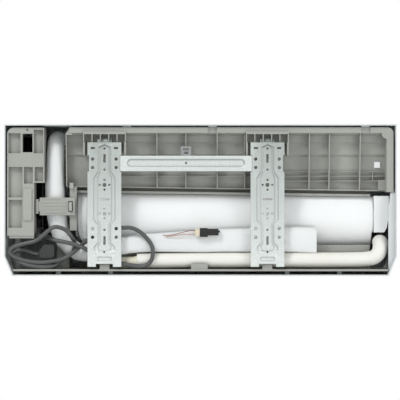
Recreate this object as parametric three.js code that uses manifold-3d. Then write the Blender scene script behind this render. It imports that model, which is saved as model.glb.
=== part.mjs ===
// Mini split indoor unit with its wall bracket, seen as it hangs on a wall.
// Millimetres. +Z is up, +Y points from the wall into the room, +X runs to the right for
// someone who looks at the wall side. The origin lies on the wall, on the crossbar's lower
// flange. Inside this file heights are counted from the unit's underside and the whole
// group is lowered by MOUNT_HEIGHT at the end.
import * as THREE from 'three';
import { mergeVertices } from 'three/addons/utils/BufferGeometryUtils.js';
import Module from 'manifold-3d';

const wasm = await Module();
wasm.setup();

// ---------- driving dimensions ----------
const GAP = 0.3;                 // running gap between touching pieces

// outer casing
const UNIT_WIDTH = 800;
const UNIT_HEIGHT = 309;
const HALF_WIDTH = UNIT_WIDTH / 2;
const CASING_REAR = 2;           // casing edge stands this far off the wall
const CASING_FRONT = 188;
const CASING_WALL = 2.5;
const TOP_CORNER_RADIUS = 26;
const BEVEL_WIDTH = 16;          // cut lower corners of the outline
const BEVEL_HEIGHT = 40;
const CHIN_REAR = 122;           // the slanted underside runs from here ...
const CHIN_TOP = 64;             // ... up to this height at the front
const GRILLE_PITCH = 26;
const GRILLE_SLOT = 19;
const GRILLE_REAR = 40;
const GRILLE_FRONT = 150;
const GRILLE_RAIL = 6;
const CLIP_TAB = 18;               // casing tabs that rest on the chassis
const TOP_TABS = [-150, 24.6, 338];
const BOTTOM_TABS = [-291.8, -184.8, 178.3, 285.7];
const SIDE_FLANGE = 16;          // pale flange inside the right end
const FLANGE_REAR = 12;
const FLANGE_TOP = 170;

// wall bracket
const MOUNT_HEIGHT = 218;        // crossbar's lower flange above the unit's underside
const SHEET = 1.2;
const EMBOSS = 3;
const PLATE_WIDTH = 69;
const PLATE_HEIGHT = 254;
const PLATE_BOTTOM = 18.5;
const PLATE_LEFT_X = -195.4;
const PLATE_SPACING = 332;
const WAIST_WIDTH = 63.5;        // plate is narrower where the crossbar meets it
const CROSSBAR_HEIGHT = 32;
const CROSSBAR_BOTTOM = 213;
const BEAD_HEIGHT = 14;
const BEAD_END = 14;             // bead stops this far from the plates
const LAP = 4;                   // crossbar tab on the plate
const HOOK_WIDTH = 30;
const HOOK_REACH = 14;
const HOOK_HEIGHT = 10;
const BOLT_HOLE = 6.8;
const SMALL_HOLE = 4.2;
const CLIP_X = -29.3;
const CLIP_WIDTH = 21;
const CLIP_HEIGHT = 18.5;

// rear chassis
const CHASSIS_LEFT = -275.5;
const CHASSIS_RIGHT = HALF_WIDTH - 6;
const CHASSIS_REAR = 8;
const CHASSIS_TOP = UNIT_HEIGHT - 6;
const CHASSIS_WALL = 2.5;
const PANEL_LOW_LEFT = 184;      // the panel's lower edge falls to the right
const PANEL_LOW_RIGHT = 175;
const LIP_DROP = 9;              // pale lip this far below the panel's edge
const LIP_THICKNESS = 5;
const SCROLL_WALL_REAR = 66;
const RIM_HEIGHT = 11.5;
const RIB_WALL = 2;
const RIB_PLACES = [-89, -30, 34.5, 91, 223, 264, 327];
const RIM_NOTCHES = [24.6, 338];
const NOTCH_WIDTH = 18;
const RIM_CORNER = 12;
const APRON_TOP = 62;            // wall that stands behind the hose and the pipe tail
const APRON_REAR = 49;
const APRON_LEFT = -180;
const APRON_RIGHT = 350;
const PANEL_LEDGES = [[203, -170], [212, 140], [193, 140]];  // height, left end
const RAIL_HEIGHT = 12;          // floor of the rear recess
const RAIL_LIP = 1.5;
const COLUMN_WIDTH = 14;
const CORNER_RIBS = [            // left, right, rear, low, high
  [353.5, 355.5, 40, 194, 213],
  [CHASSIS_RIGHT - COLUMN_WIDTH - 14, CHASSIS_RIGHT - COLUMN_WIDTH + 1, 36,
    PANEL_LOW_RIGHT, 196],
];
const CATCH_WIDTH = 87;
const CATCH_HEIGHT = 21.5;
const CATCH_REAR = 4;
const CATCH_DEPTH = 28;
const CATCH_LEG = 27;
const CATCH_POCKETS = 5;
const POCKET_DEPTH = 16;
const POCKET_TOP = CHASSIS_TOP - RIM_HEIGHT - CHASSIS_WALL;
const CABLE_HOLE_X = 364.5;
const CABLE_HOLE_Z = 227;
const CABLE_HOLE_SIZE = 13;
const CABLE_CAP_REAR = 41.5;

// fan chamber
const FAN_Y = 106;
const FAN_Z = 128;
const FAN_RADIUS = 44;
const FAN_LEFT = -246;
const FAN_RIGHT = 340;
const FAN_BLADES = 16;
const FAN_DISC = 3;
const FAN_RING = 9;              // radial width of the blade ring
const CHAMBER_LEFT = -254;
const CHAMBER_RIGHT = 348;
const SHAFT_RADIUS = 4;
const BEARING_RADIUS = 11;
const BEARING_WIDTH = 6;
const MOTOR_RADIUS = 38;
const MOTOR_LENGTH = 46;
const FOAM_THICKNESS = 6;
const FOAM_LEFT = -253.7;
const FOAM_RIGHT = 357.5;
const FOAM_END_WIDTH = 31;

// pipe-side block
const BLOCK_LEFT = 5.5 - HALF_WIDTH;
const BLOCK_RIGHT = -319;
const BLOCK_STEP_X = -339.5;       // lower part of the block is narrower
const BLOCK_STEP_Z = 190;
const BLOCK_BOTTOM = 81.5;
const BLOCK_TOP = CHASSIS_TOP - 0.5;
const BLOCK_REAR = 8;
const BLOCK_DEPTH = 52;
const BLOCK_POCKET = 10;
const BLOCK_FACE = 3;

// refrigerant pipes and their foam
const RISER_RADIUS = 18.5;
const RISER_BORE = 11.5;
const TAIL_LEFT = -184;
const TAIL_RIGHT = 238;
const TAIL_HALF_HEIGHT = 25;
const TAIL_HALF_DEPTH = 15.5;
const TAIL_WALL = 2.5;
const TAIL_CORNER = 13;
const TAIL_Y = 31.5;
const GAS_RADIUS = 4.75;
const LIQUID_RADIUS = 3.2;
const GAS_NUT = 22;              // across flats
const LIQUID_NUT = 17;
const GAS_NUT_LENGTH = 20;
const LIQUID_NUT_LENGTH = 17;

// pipe clamp
const CLAMP_HINGE_X = -335;
const CLAMP_HINGE_Y = 20;
const CLAMP_RIGHT = -257;
const CLAMP_BOTTOM = 123.5;
const CLAMP_HEIGHT = 36;
const CLAMP_PLATE = 3;
const KNUCKLE_RADIUS = 4;
const KNUCKLE_HEIGHT = 21;
const CLAMP_PIN_RADIUS = 1.6;
const LATCH_X = -266;
const LATCH_WIDTH = 6;
const LATCH_HEIGHT = 18;

// drain hose
const HOSE_RADIUS = 15.5;
const HOSE_Y = 30;
const HOSE_Z = 32;               // the hose's middle above the underside
const HOSE_END_Z = 29.8;
const HOSE_END_X = -130;
const CUFF_RADIUS = 11.5;        // smooth end of the hose
const CUFF_LENGTH = 34;
const CUFF_DROP = 3;
const SPOUT_RADIUS = 9;
const SPOUT_X = 371;
const SPOUT_Z = 67.5;

// mains cable and sensor wires
const CORD_RADIUS = 4.3;
const PLUG_WIDTH = 30;
const PLUG_HEIGHT = 27;
const PLUG_DEPTH = 18;
const WIRE_RADIUS = 1;
const CONNECTOR_LENGTH = 41;
const CONNECTOR_HEIGHT = 18;
const CONNECTOR_DEPTH = 10;
const COLLAR_LENGTH = 9;

// coil
const COIL_THICKNESS = 20;
const COIL_FRONT_Y = 167;        // middle of the upright lower slab
const LOWER_LENGTH = 92;
const UPPER_LENGTH = 80;
const UPPER_TILT = 34;
const REAR_LENGTH = 66;
const REAR_TILT = -38;
const REAR_LEAN = 9;             // rear slab leans this far below the upper slab's end
const PAN_LOW = 84;
const PAN_HIGH = 96;
const PAN_REAR = 154;
const PAN_FRONT = 180;
const PAN_WALL = 2;
const COIL_SEAT = 10;            // seats at the pan's ends, under the coil
const COIL_TUBE = 3.5;
const BEND_REACH = 9;
const FIN_GROOVES = 13;
const GROOVE_DEPTH = 16;

// outlet, louvre and vanes
const OUTLET_START = 10;         // along the slanted underside, from its rear edge
const OUTLET_LENGTH = 72;
const LOUVRE_THICKNESS = 2.2;
const LOUVRE_PIVOT_ALONG = 28;
const LOUVRE_PIVOT_DEPTH = 9;
const LOUVRE_PIN = 2.5;
const VANES_PER_BANK = 5;
const VANE_LENGTH = 30;
const VANE_HEIGHT = 32;
const VANE_THICKNESS = 1.4;
const VANE_PIN = 1.6;
const VANE_CRANK = 11;
const LINK_WIDTH = 9;
const LINK_THICKNESS = 2;
const VANE_FOOT_UP = 36;         // vane pivots, up the ramp from its lower edge
const VANE_FLOOR = 1.8;

// front panel, filters, controls
const PANEL_FRONT = 202;
const PANEL_SHEET = 3;
const PANEL_LOW = 72;
const PANEL_HIGH = UNIT_HEIGHT - 17;
const PANEL_PIVOT_Y = 191;
const PANEL_PIVOT_Z = UNIT_HEIGHT - 22;
const PANEL_PIN = 2.3;
const EAR_RADIUS = 4.6;
const EAR_X = HALF_WIDTH - 22;
const EAR_WIDTH = 4;
const OPENING_LOW = 98;          // filter opening in the casing's front
const OPENING_HIGH = UNIT_HEIGHT - 47;
const FILTER_THICKNESS = 2.4;
const FILTER_LOW = 94.5;
const FILTER_HIGH = UNIT_HEIGHT - 57;
const FILTER_FRAME = 7;
const BUTTON_RADIUS = 4.5;
const BUTTON_TRAVEL = 2;

const MOTOR_LEFT = CHAMBER_LEFT - CHASSIS_WALL - 5 - MOTOR_LENGTH;
const PLATE_RIGHT_X = PLATE_LEFT_X + PLATE_SPACING;

// ---------- materials ----------
function paint(colour, roughness, metalness) {
  return new THREE.MeshStandardMaterial({ color: colour, roughness, metalness });
}

const STEEL = paint(0xc9cfcb, 0.42, 0.75);
const BRIGHT_STEEL = paint(0xbfc2c4, 0.25, 0.9);
const GREY_PLASTIC = paint(0xa3a49e, 0.6, 0);
const WHITE_PLASTIC = paint(0xf1f3f2, 0.4, 0);
const BLACK_PLASTIC = paint(0x232426, 0.45, 0);
const BEIGE_PLASTIC = paint(0xdccba6, 0.5, 0);
const FOAM = paint(0xf4f5f4, 0.85, 0);
const HOSE_IVORY = paint(0xf0eee2, 0.7, 0);
const CABLE_GREY = paint(0x5c5d5c, 0.5, 0);
const COPPER = paint(0xb87346, 0.35, 0.9);
const BRASS = paint(0xc8a04a, 0.35, 0.9);
const WIRE_RED = paint(0xa9604c, 0.5, 0);
const ALUMINIUM = paint(0xc5c8ca, 0.4, 0.8);
const BOARD_GREEN = paint(0x2f6b45, 0.5, 0);

// ---------- solids ----------
function solid(geometry) {
  const bare = geometry.clone();
  bare.deleteAttribute('normal');
  bare.deleteAttribute('uv');
  const merged = mergeVertices(bare, 1e-4);
  const vertProperties = new Float32Array(merged.attributes.position.array);
  const triVerts = new Uint32Array(merged.index.array);
  return new wasm.Manifold(new wasm.Mesh({ numProp: 3, vertProperties, triVerts }));
}

function join(pieces) {
  return pieces.reduce((whole, piece) => whole.add(piece));
}

function block(x0, x1, y0, y1, z0, z1) {
  const geometry = new THREE.BoxGeometry(x1 - x0, y1 - y0, z1 - z0);
  geometry.translate((x0 + x1) / 2, (y0 + y1) / 2, (z0 + z1) / 2);
  return solid(geometry);
}

function outline(points) {
  return new THREE.Shape(points.map(([a, b]) => new THREE.Vector2(a, b)));
}

// A shape drawn in (y, z), extruded along X.
function prismX(shape, x0, x1, curveSegments = 6) {
  const settings = { depth: x1 - x0, bevelEnabled: false, curveSegments };
  const geometry = new THREE.ExtrudeGeometry(shape, settings);
  const axes = new THREE.Matrix4().makeBasis(
    new THREE.Vector3(0, 1, 0), new THREE.Vector3(0, 0, 1), new THREE.Vector3(1, 0, 0));
  geometry.applyMatrix4(axes);
  geometry.translate(x0, 0, 0);
  return solid(geometry);
}

// A shape drawn in (x, z), extruded along Y.
function prismY(shape, y0, y1, curveSegments = 6) {
  const settings = { depth: y1 - y0, bevelEnabled: false, curveSegments };
  const geometry = new THREE.ExtrudeGeometry(shape, settings);
  geometry.rotateX(Math.PI / 2);
  geometry.translate(0, y1, 0);
  return solid(geometry);
}

function rod(axis, from, to, a, b, radius, sides = 16) {
  const geometry = new THREE.CylinderGeometry(radius, radius, to - from, sides);
  const middle = (from + to) / 2;
  if (axis === 'x') {
    geometry.rotateZ(Math.PI / 2);
    geometry.translate(middle, a, b);
  } else if (axis === 'y') {
    geometry.translate(a, middle, b);
  } else {
    geometry.rotateX(Math.PI / 2);
    geometry.translate(a, b, middle);
  }
  return solid(geometry);
}

function ring(radius, sides) {
  const points = [];
  for (let i = 0; i < sides; i += 1) {
    const turn = (2 * Math.PI * i) / sides;
    points.push([radius * Math.cos(turn), radius * Math.sin(turn)]);
  }
  return outline(points);
}

function smoothCurve(points) {
  const places = points.map(([x, y, z]) => new THREE.Vector3(x, y, z));
  return new THREE.CatmullRomCurve3(places, false, 'centripetal');
}

// A round tube along a smooth curve, with a given length of each step.
function tube(points, radius, sides, step) {
  const extrudePath = smoothCurve(points);
  const steps = Math.max(2, Math.round(extrudePath.getLength() / step));
  const settings = { steps, bevelEnabled: false, extrudePath };
  return solid(new THREE.ExtrudeGeometry(ring(radius, sides), settings));
}

function mesh(name, shape, material) {
  const data = shape.getMesh();
  const geometry = new THREE.BufferGeometry();
  geometry.setAttribute('position', new THREE.BufferAttribute(data.vertProperties, 3));
  geometry.setIndex(new THREE.BufferAttribute(data.triVerts, 1));
  geometry.computeVertexNormals();
  const piece = new THREE.Mesh(geometry, material);
  piece.name = name;
  return piece;
}

// ---------- wall bracket ----------
const PLATE_TOP = PLATE_BOTTOM + PLATE_HEIGHT;
const CATCH_BOTTOM = PLATE_TOP + GAP;      // the unit hangs here on the plates
const CROSSBAR_TOP = CROSSBAR_BOTTOM + CROSSBAR_HEIGHT;

// The raised channel: narrow at the crossbar, wide in the middle, narrow again below.
function channelShape(grow) {
  const narrow = 11.5 + grow;
  const wide = 20.5 + grow;
  const heights = [PLATE_TOP - 5, 213, 199, 114, 104, 68, 59, PLATE_BOTTOM + 33.5];
  const halves = [narrow, narrow, wide, wide, narrow, narrow, wide, wide];
  heights[0] += grow;
  heights[heights.length - 1] -= grow;
  const right = heights.map((height, i) => [halves[i], height]);
  const left = right.map(([x, height]) => [-x, height]).reverse();
  return outline([...right, ...left]);
}

function plateOutline() {
  const half = PLATE_WIDTH / 2;
  const waist = WAIST_WIDTH / 2;
  const tabHalf = 17;
  const tabTop = PLATE_BOTTOM + 6;
  return outline([
    [half, PLATE_BOTTOM], [half, CROSSBAR_BOTTOM - 1], [waist, CROSSBAR_BOTTOM - 1],
    [waist, CROSSBAR_TOP + 1], [half, CROSSBAR_TOP + 1], [half, PLATE_TOP],
    [-half, PLATE_TOP], [-half, CROSSBAR_TOP + 1], [-waist, CROSSBAR_TOP + 1],
    [-waist, CROSSBAR_BOTTOM - 1], [-half, CROSSBAR_BOTTOM - 1], [-half, PLATE_BOTTOM],
    [-tabHalf, PLATE_BOTTOM], [-tabHalf, tabTop], [tabHalf, tabTop], [tabHalf, PLATE_BOTTOM],
  ]);
}

function plateHoles() {
  const cut = (x, z, size) => rod('y', -1, EMBOSS + 3, x, z, size / 2, 8);
  const slot = (x, z, width, height) => block(
    x - width / 2, x + width / 2, -1, EMBOSS + 3, z - height / 2, z + height / 2);
  const holes = [];
  for (const side of [-1, 1]) {
    holes.push(slot(side * 23.5, PLATE_TOP - 12, 8, 3.6));
    for (const height of [238, 220.8, 96.5, 79]) {
      holes.push(cut(side * 24, height, BOLT_HOLE));
    }
    for (const height of [185.5, 127]) {
      holes.push(cut(side * 9.8, height, SMALL_HOLE));
    }
  }
  for (const height of [259.5, 216.5, 195.5, 175.8, 136.8, 117.6, 94, 49]) {
    holes.push(cut(0, height, SMALL_HOLE));
  }
  holes.push(cut(0, 185.5, 8));
  holes.push(cut(0, 126.5, BOLT_HOLE));
  holes.push(slot(0, 156.3, 20, 3.5));
  holes.push(slot(0, 239.5, 4.4, 17));
  holes.push(slot(0, 72, 4.6, 17));
  return join(holes);
}

function wallPlate() {
  const sheet = prismY(plateOutline(), 0, SHEET);
  const raised = prismY(channelShape(SHEET), 0, EMBOSS + SHEET);
  const hollow = prismY(channelShape(0), -1, EMBOSS);
  const half = HOOK_WIDTH / 2;
  const hookFoot = block(-half, half, 0, HOOK_REACH, PLATE_TOP - SHEET, PLATE_TOP);
  const hookLip = block(
    -half, half, HOOK_REACH - SHEET, HOOK_REACH, PLATE_TOP - SHEET, PLATE_TOP + HOOK_HEIGHT);
  const plate = join([sheet, raised]).subtract(hollow).subtract(plateHoles());
  return join([plate, hookFoot, hookLip]);
}

function crossbar() {
  const left = PLATE_LEFT_X + WAIST_WIDTH / 2 + GAP;
  const right = PLATE_RIGHT_X - WAIST_WIDTH / 2 - GAP;
  const tabRear = SHEET + GAP;
  const tabTop = CROSSBAR_TOP - 1;
  const tabBottom = CROSSBAR_BOTTOM + 1;
  const bar = block(left, right, 0, SHEET, CROSSBAR_BOTTOM, CROSSBAR_TOP);
  const joggles = [[left - LAP, left + 4], [right - 4, right + LAP]].map(([x0, x1]) => (
    block(x0, x1, tabRear, tabRear + SHEET, tabBottom, tabTop)));
  const steps = [[left, left + 4], [right - 4, right]].map(([x0, x1]) => (
    block(x0, x1, 0, tabRear + SHEET, tabBottom, tabTop)));
  const beadMiddle = CROSSBAR_BOTTOM + CROSSBAR_HEIGHT - 15;
  const bead = (grow, depth0, depth1) => block(
    left + BEAD_END - grow, right - BEAD_END + grow, depth0, depth1,
    beadMiddle - BEAD_HEIGHT / 2 - grow, beadMiddle + BEAD_HEIGHT / 2 + grow);
  const clipHole = rod('y', -1, EMBOSS + 3, CLIP_X, beadMiddle, SMALL_HOLE / 2, 10);
  return join([bar, ...joggles, ...steps, bead(SHEET, 0, EMBOSS + SHEET)])
    .subtract(bead(0, -1, EMBOSS))
    .subtract(clipHole);
}

// A bent metal clip on the crossbar's top edge; it holds the level while drilling.
function hangerClip() {
  const x0 = CLIP_X - CLIP_WIDTH / 2;
  const x1 = CLIP_X + CLIP_WIDTH / 2;
  const low = CROSSBAR_TOP + GAP;
  const high = low + CLIP_HEIGHT;
  const reach = 9;
  const back = block(x0, x1, 1, 1 + SHEET, low, high);
  const shelf = block(x0, x1, 1, reach, high - SHEET, high);
  const ears = [x0, x1 - SHEET].map((x) => block(x, x + SHEET, 1, reach, low, high));
  const windows = [[6, high - 8, high - 4], [4.5, low + 3, low + 8]].map(([half, from, to]) => (
    block(CLIP_X - half, CLIP_X + half, 0, 3, from, to)));
  return join([back, shelf, ...ears]).subtract(join(windows));
}

// ---------- fan chamber wall, shared by the chassis and its foam ----------
const SCROLL_TURNS = [135, 150, 165, 180, 195, 210, 225, 240];

function scrollPoint(turn, grow) {
  const swell = (turn - SCROLL_TURNS[0]) / 105;
  const radius = FAN_RADIUS + 8 + 14 * swell * swell + grow;
  const angle = THREE.MathUtils.degToRad(turn);
  return [FAN_Y + radius * Math.cos(angle), FAN_Z + radius * Math.sin(angle)];
}

const RAMP_HEAD = scrollPoint(SCROLL_TURNS[SCROLL_TURNS.length - 1], 0)
  .map((value) => value + 2);
const RAMP_FOOT = [CHIN_REAR, RAIL_HEIGHT];

function scrollBand(inner, outer) {
  const near = SCROLL_TURNS.map((turn) => scrollPoint(turn, inner));
  const far = SCROLL_TURNS.map((turn) => scrollPoint(turn, outer)).reverse();
  return outline([...near, ...far]);
}

// ---------- rear chassis ----------
// Depth of the panel's bands, and how far up each lies from the panel's low edge to its rim.
const PANEL_BANDS = [
  [12, 1], [31.5, 0.96], [33, 0.86], [37.5, 0.82], [38, 0.63], [43, 0.59], [44, 0.4],
  [47, 0.26], [50, 0.13], [50, 0],
];
const PANEL_PROFILE = PANEL_BANDS.map(([depth, share]) => [
  depth, PANEL_LOW_RIGHT + share * (CHASSIS_TOP - RIM_HEIGHT - PANEL_LOW_RIGHT),
]);

// Height of the panel's lower edge, which falls to the right.
function fallLine(x) {
  const share = (x - CHASSIS_LEFT) / (CHASSIS_RIGHT - CHASSIS_LEFT);
  return PANEL_LOW_LEFT + share * (PANEL_LOW_RIGHT - PANEL_LOW_LEFT);
}

// A slab that follows the falling edge, its top this far below the edge.
function fallingSlab(x0, x1, y0, y1, drop, thickness) {
  const [top0, top1] = [fallLine(x0) - drop, fallLine(x1) - drop];
  return prismY(outline([
    [x0, top0 - thickness], [x1, top1 - thickness], [x1, top1], [x0, top0],
  ]), y0, y1);
}

function panelBand() {
  const inner = PANEL_PROFILE.map(([y, z]) => [y + CHASSIS_WALL, z]).reverse();
  return outline([...PANEL_PROFILE, ...inner]);
}

function rib(x, low, high) {
  const edge = PANEL_PROFILE.filter(([, z]) => z < high && z > low);
  const face = [[edge[0][0] + 1, high], ...edge.map(([y, z]) => [y + 1, z])];
  const last = face[face.length - 1];
  const shape = outline([[CHASSIS_REAR + 4, high], ...face, [last[0], low], [30, low]]);
  return prismX(shape, x - RIB_WALL / 2, x + RIB_WALL / 2);
}

function catchBlock(centre) {
  const x0 = centre - CATCH_WIDTH / 2;
  const x1 = centre + CATCH_WIDTH / 2;
  const top = CATCH_BOTTOM + CATCH_HEIGHT;
  const rear = CATCH_REAR;
  const front = CATCH_REAR + CATCH_DEPTH;
  const legLow = CATCH_BOTTOM - CATCH_LEG;
  const body = block(x0, x1, rear, front, CATCH_BOTTOM, top);
  const legs = [[x0, x0 + 3.5], [x1 - 3.5, x1]].map(([a, b]) => (
    block(a, b, rear, front + 8, legLow, CATCH_BOTTOM + 1)));
  const pitch = (CATCH_WIDTH - 2) / CATCH_POCKETS;
  const pockets = [];
  for (let i = 0; i < CATCH_POCKETS; i += 1) {
    const from = x0 + 2 + i * pitch;
    pockets.push(block(
      from, from + pitch - 2, rear - 1, rear + POCKET_DEPTH, CATCH_BOTTOM - 1, POCKET_TOP));
  }
  const slotHalf = HOOK_WIDTH / 2 + 2;
  const hookSlot = block(
    centre - slotHalf, centre + slotHalf, HOOK_REACH - SHEET - 1, HOOK_REACH + 1,
    CATCH_BOTTOM - 1, CATCH_BOTTOM + HOOK_HEIGHT + 1);
  return join([body, ...legs]).subtract(join([...pockets, hookSlot]));
}

function chassisPanel() {
  const left = CHASSIS_LEFT;
  const right = CHASSIS_RIGHT - COLUMN_WIDTH;
  const rimLow = CHASSIS_TOP - RIM_HEIGHT;
  const rimFront = CHASSIS_REAR + 6.5;
  const cornerX = CHASSIS_RIGHT - RIM_CORNER;
  const cornerZ = CHASSIS_TOP - RIM_CORNER;
  const rim = block(left + 8, cornerX, CHASSIS_REAR, rimFront, rimLow, CHASSIS_TOP);
  const rimEnd = prismY(outline([
    [left, rimLow - 4], [left + 14, rimLow - 4], [left + 14, CHASSIS_TOP],
    [left + 8, CHASSIS_TOP],
  ]), CHASSIS_REAR + 2, rimFront);
  const corner = rod('y', CHASSIS_REAR, rimFront, cornerX, cornerZ, RIM_CORNER, 32);
  const notches = RIM_NOTCHES.map((x) => block(
    x - NOTCH_WIDTH / 2, x + NOTCH_WIDTH / 2, 0, rimFront - CHASSIS_WALL, rimLow - 1,
    CHASSIS_TOP + 1));
  const roof = block(
    left + 8, cornerX, 12, GRILLE_REAR - 4, CHASSIS_TOP - CHASSIS_WALL, CHASSIS_TOP);
  const roofSeal = block(
    left + 8, cornerX, GRILLE_REAR - 6, GRILLE_REAR - 4, CHASSIS_TOP - 1,
    UNIT_HEIGHT - CASING_WALL - GAP);
  const panel = prismX(panelBand(), left, right + 2);
  const ribs = [left + RIB_WALL / 2, ...RIB_PLACES].map((x) => (
    rib(x, PANEL_LOW_RIGHT, rimLow + 1)));
  const below = fallingSlab(left - 1, right, 0, 60, 1, 30);
  const shelf = fallingSlab(left, right + 2, 40, SCROLL_WALL_REAR + CHASSIS_WALL, 0,
    CHASSIS_WALL);
  const ledges = PANEL_LEDGES.map(([height, from]) => (
    block(from, right, 42, 49.5, height, height + CHASSIS_WALL - 0.7)));
  const cornerRibs = CORNER_RIBS.map(([x0, x1, rear, low, high]) => (
    block(x0, x1, rear, 50, low, high)));
  const column = block(right, CHASSIS_RIGHT, CHASSIS_REAR, 62, PANEL_LOW_RIGHT - 4, cornerZ);
  const columnHollow = block(
    right + CHASSIS_WALL, CHASSIS_RIGHT - CHASSIS_WALL, CHASSIS_REAR + 3, 63,
    PANEL_LOW_RIGHT, cornerZ - 4);
  const half = CABLE_HOLE_SIZE / 2;
  const cableHole = block(
    CABLE_HOLE_X - half, CABLE_HOLE_X + half, 20, 60, CABLE_HOLE_Z - half, CABLE_HOLE_Z + half);
  const catches = [PLATE_LEFT_X, PLATE_RIGHT_X].map(catchBlock);
  const bays = join([panel, ...ribs, ...ledges, ...cornerRibs]).subtract(below);
  return join([rim, rimEnd, corner, roof, roofSeal, bays, shelf, column, ...catches])
    .subtract(join([columnHollow, cableHole, ...notches]));
}

function chamberSide(x0) {
  const curve = SCROLL_TURNS.map((turn) => scrollPoint(turn, CHASSIS_WALL));
  const top = fallLine(x0) - 1;
  const shape = outline([
    [curve[0][0], top], ...curve, [CHIN_REAR - 4, RAIL_HEIGHT - 1],
    RAMP_FOOT, [CHIN_REAR - 12, 46], [150, 84], [150, top],
  ]);
  return prismX(shape, x0, x0 + CHASSIS_WALL);
}

function chassisChamber() {
  const x0 = CHAMBER_LEFT - CHASSIS_WALL;
  const x1 = CHAMBER_RIGHT + CHASSIS_WALL;
  const scroll = prismX(scrollBand(0, CHASSIS_WALL), x0, x1);
  const topZ = scrollPoint(SCROLL_TURNS[0], CHASSIS_WALL)[1];
  const lowTurn = SCROLL_TURNS[SCROLL_TURNS.length - 1];
  const [lowY, lowZ] = scrollPoint(lowTurn, 0);
  const bridge = fallingSlab(
    x0, x1, SCROLL_WALL_REAR, SCROLL_WALL_REAR + CHASSIS_WALL, 1, 19)
    .subtract(block(x0 - 1, x1 + 1, 60, 70, 150, topZ - 2));
  const ramp = prismX(outline([
    [lowY, lowZ], RAMP_HEAD, RAMP_FOOT, [CHIN_REAR - 4, RAIL_HEIGHT - 1],
  ]), x0, x1);
  const left = chamberSide(x0);
  const right = chamberSide(CHAMBER_RIGHT);
  const motorHole = rod('x', x0 - 1, CHAMBER_LEFT + 1, FAN_Y, FAN_Z, SHAFT_RADIUS + 3, 16);
  const bearingHole = rod(
    'x', CHAMBER_RIGHT - 1, x1 + 1, FAN_Y, FAN_Z, BEARING_RADIUS + GAP, 20);
  const lip = fallingSlab(x0, x1, 46, SCROLL_WALL_REAR + 1, LIP_DROP, LIP_THICKNESS);
  return join([scroll, bridge, ramp, left, right, lip])
    .subtract(motorHole)
    .subtract(bearingHole);
}

function chassisFloor() {
  const front = CHIN_REAR - 2;
  const half = HALF_WIDTH - BEVEL_WIDTH - 1;
  const low = RAIL_HEIGHT - CHASSIS_WALL;
  const floor = block(-half, half, CHASSIS_REAR, front, low, RAIL_HEIGHT);
  const lip = block(
    -half, half, CHASSIS_REAR - 2, CHASSIS_REAR + 1,
    low, RAIL_HEIGHT + RAIL_LIP);
  const tabs = [PLATE_LEFT_X, PLATE_RIGHT_X].map((x) => (
    block(x - 10, x + 10, CHASSIS_REAR - 2, CHASSIS_REAR + 1, low, PLATE_BOTTOM + 5)));
  const centreTab = block(-19, 15, CHASSIS_REAR, CHASSIS_REAR + 2, low, RAIL_HEIGHT + 13);
  const apron = block(
    APRON_LEFT, APRON_RIGHT, APRON_REAR, APRON_REAR + CHASSIS_WALL, low, APRON_TOP);
  return join([floor, lip, ...tabs, centreTab, apron]);
}

function clampPost() {
  const x0 = LATCH_X - LATCH_WIDTH / 2;
  const x1 = LATCH_X + LATCH_WIDTH / 2;
  const middle = CLAMP_BOTTOM + CLAMP_HEIGHT / 2;
  const postTop = PANEL_LOW_LEFT - 1;
  const post = block(x0 + 1, CHAMBER_LEFT, CLAMP_HINGE_Y + 8, 56, 92, postTop);
  const tongue = block(
    x0, x1, CLAMP_HINGE_Y - 5, CLAMP_HINGE_Y + 10,
    middle - LATCH_HEIGHT / 2, middle + LATCH_HEIGHT / 2);
  const web = block(CHAMBER_LEFT - CHASSIS_WALL, CHAMBER_LEFT, 40, 70, 80, postTop);
  const hook = block(x0 + 1, x0 + 9, 22, 40, postTop - 5, postTop + 7);
  return join([post, tongue, web, hook]);
}

// White cap that closes the square hole in the panel.
function holeCap() {
  const half = CABLE_HOLE_SIZE / 2 - GAP;
  return block(
    CABLE_HOLE_X - half, CABLE_HOLE_X + half, CABLE_CAP_REAR, CABLE_CAP_REAR + 4,
    CABLE_HOLE_Z - half, CABLE_HOLE_Z + half);
}

function rearChassis() {
  return join([chassisPanel(), chassisChamber(), chassisFloor(), clampPost()]);
}

// ---------- pipe-side block at the left ----------
function blockOutline() {
  const corner = 14;
  const shape = new THREE.Shape();
  shape.moveTo(BLOCK_LEFT, BLOCK_BOTTOM);
  shape.lineTo(BLOCK_STEP_X, BLOCK_BOTTOM);
  shape.lineTo(BLOCK_STEP_X, BLOCK_STEP_Z);
  shape.lineTo(BLOCK_RIGHT, BLOCK_STEP_Z);
  shape.lineTo(BLOCK_RIGHT, BLOCK_TOP);
  shape.lineTo(BLOCK_LEFT + corner, BLOCK_TOP);
  shape.absarc(BLOCK_LEFT + corner, BLOCK_TOP - corner, corner, Math.PI / 2, Math.PI, false);
  return shape;
}

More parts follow.
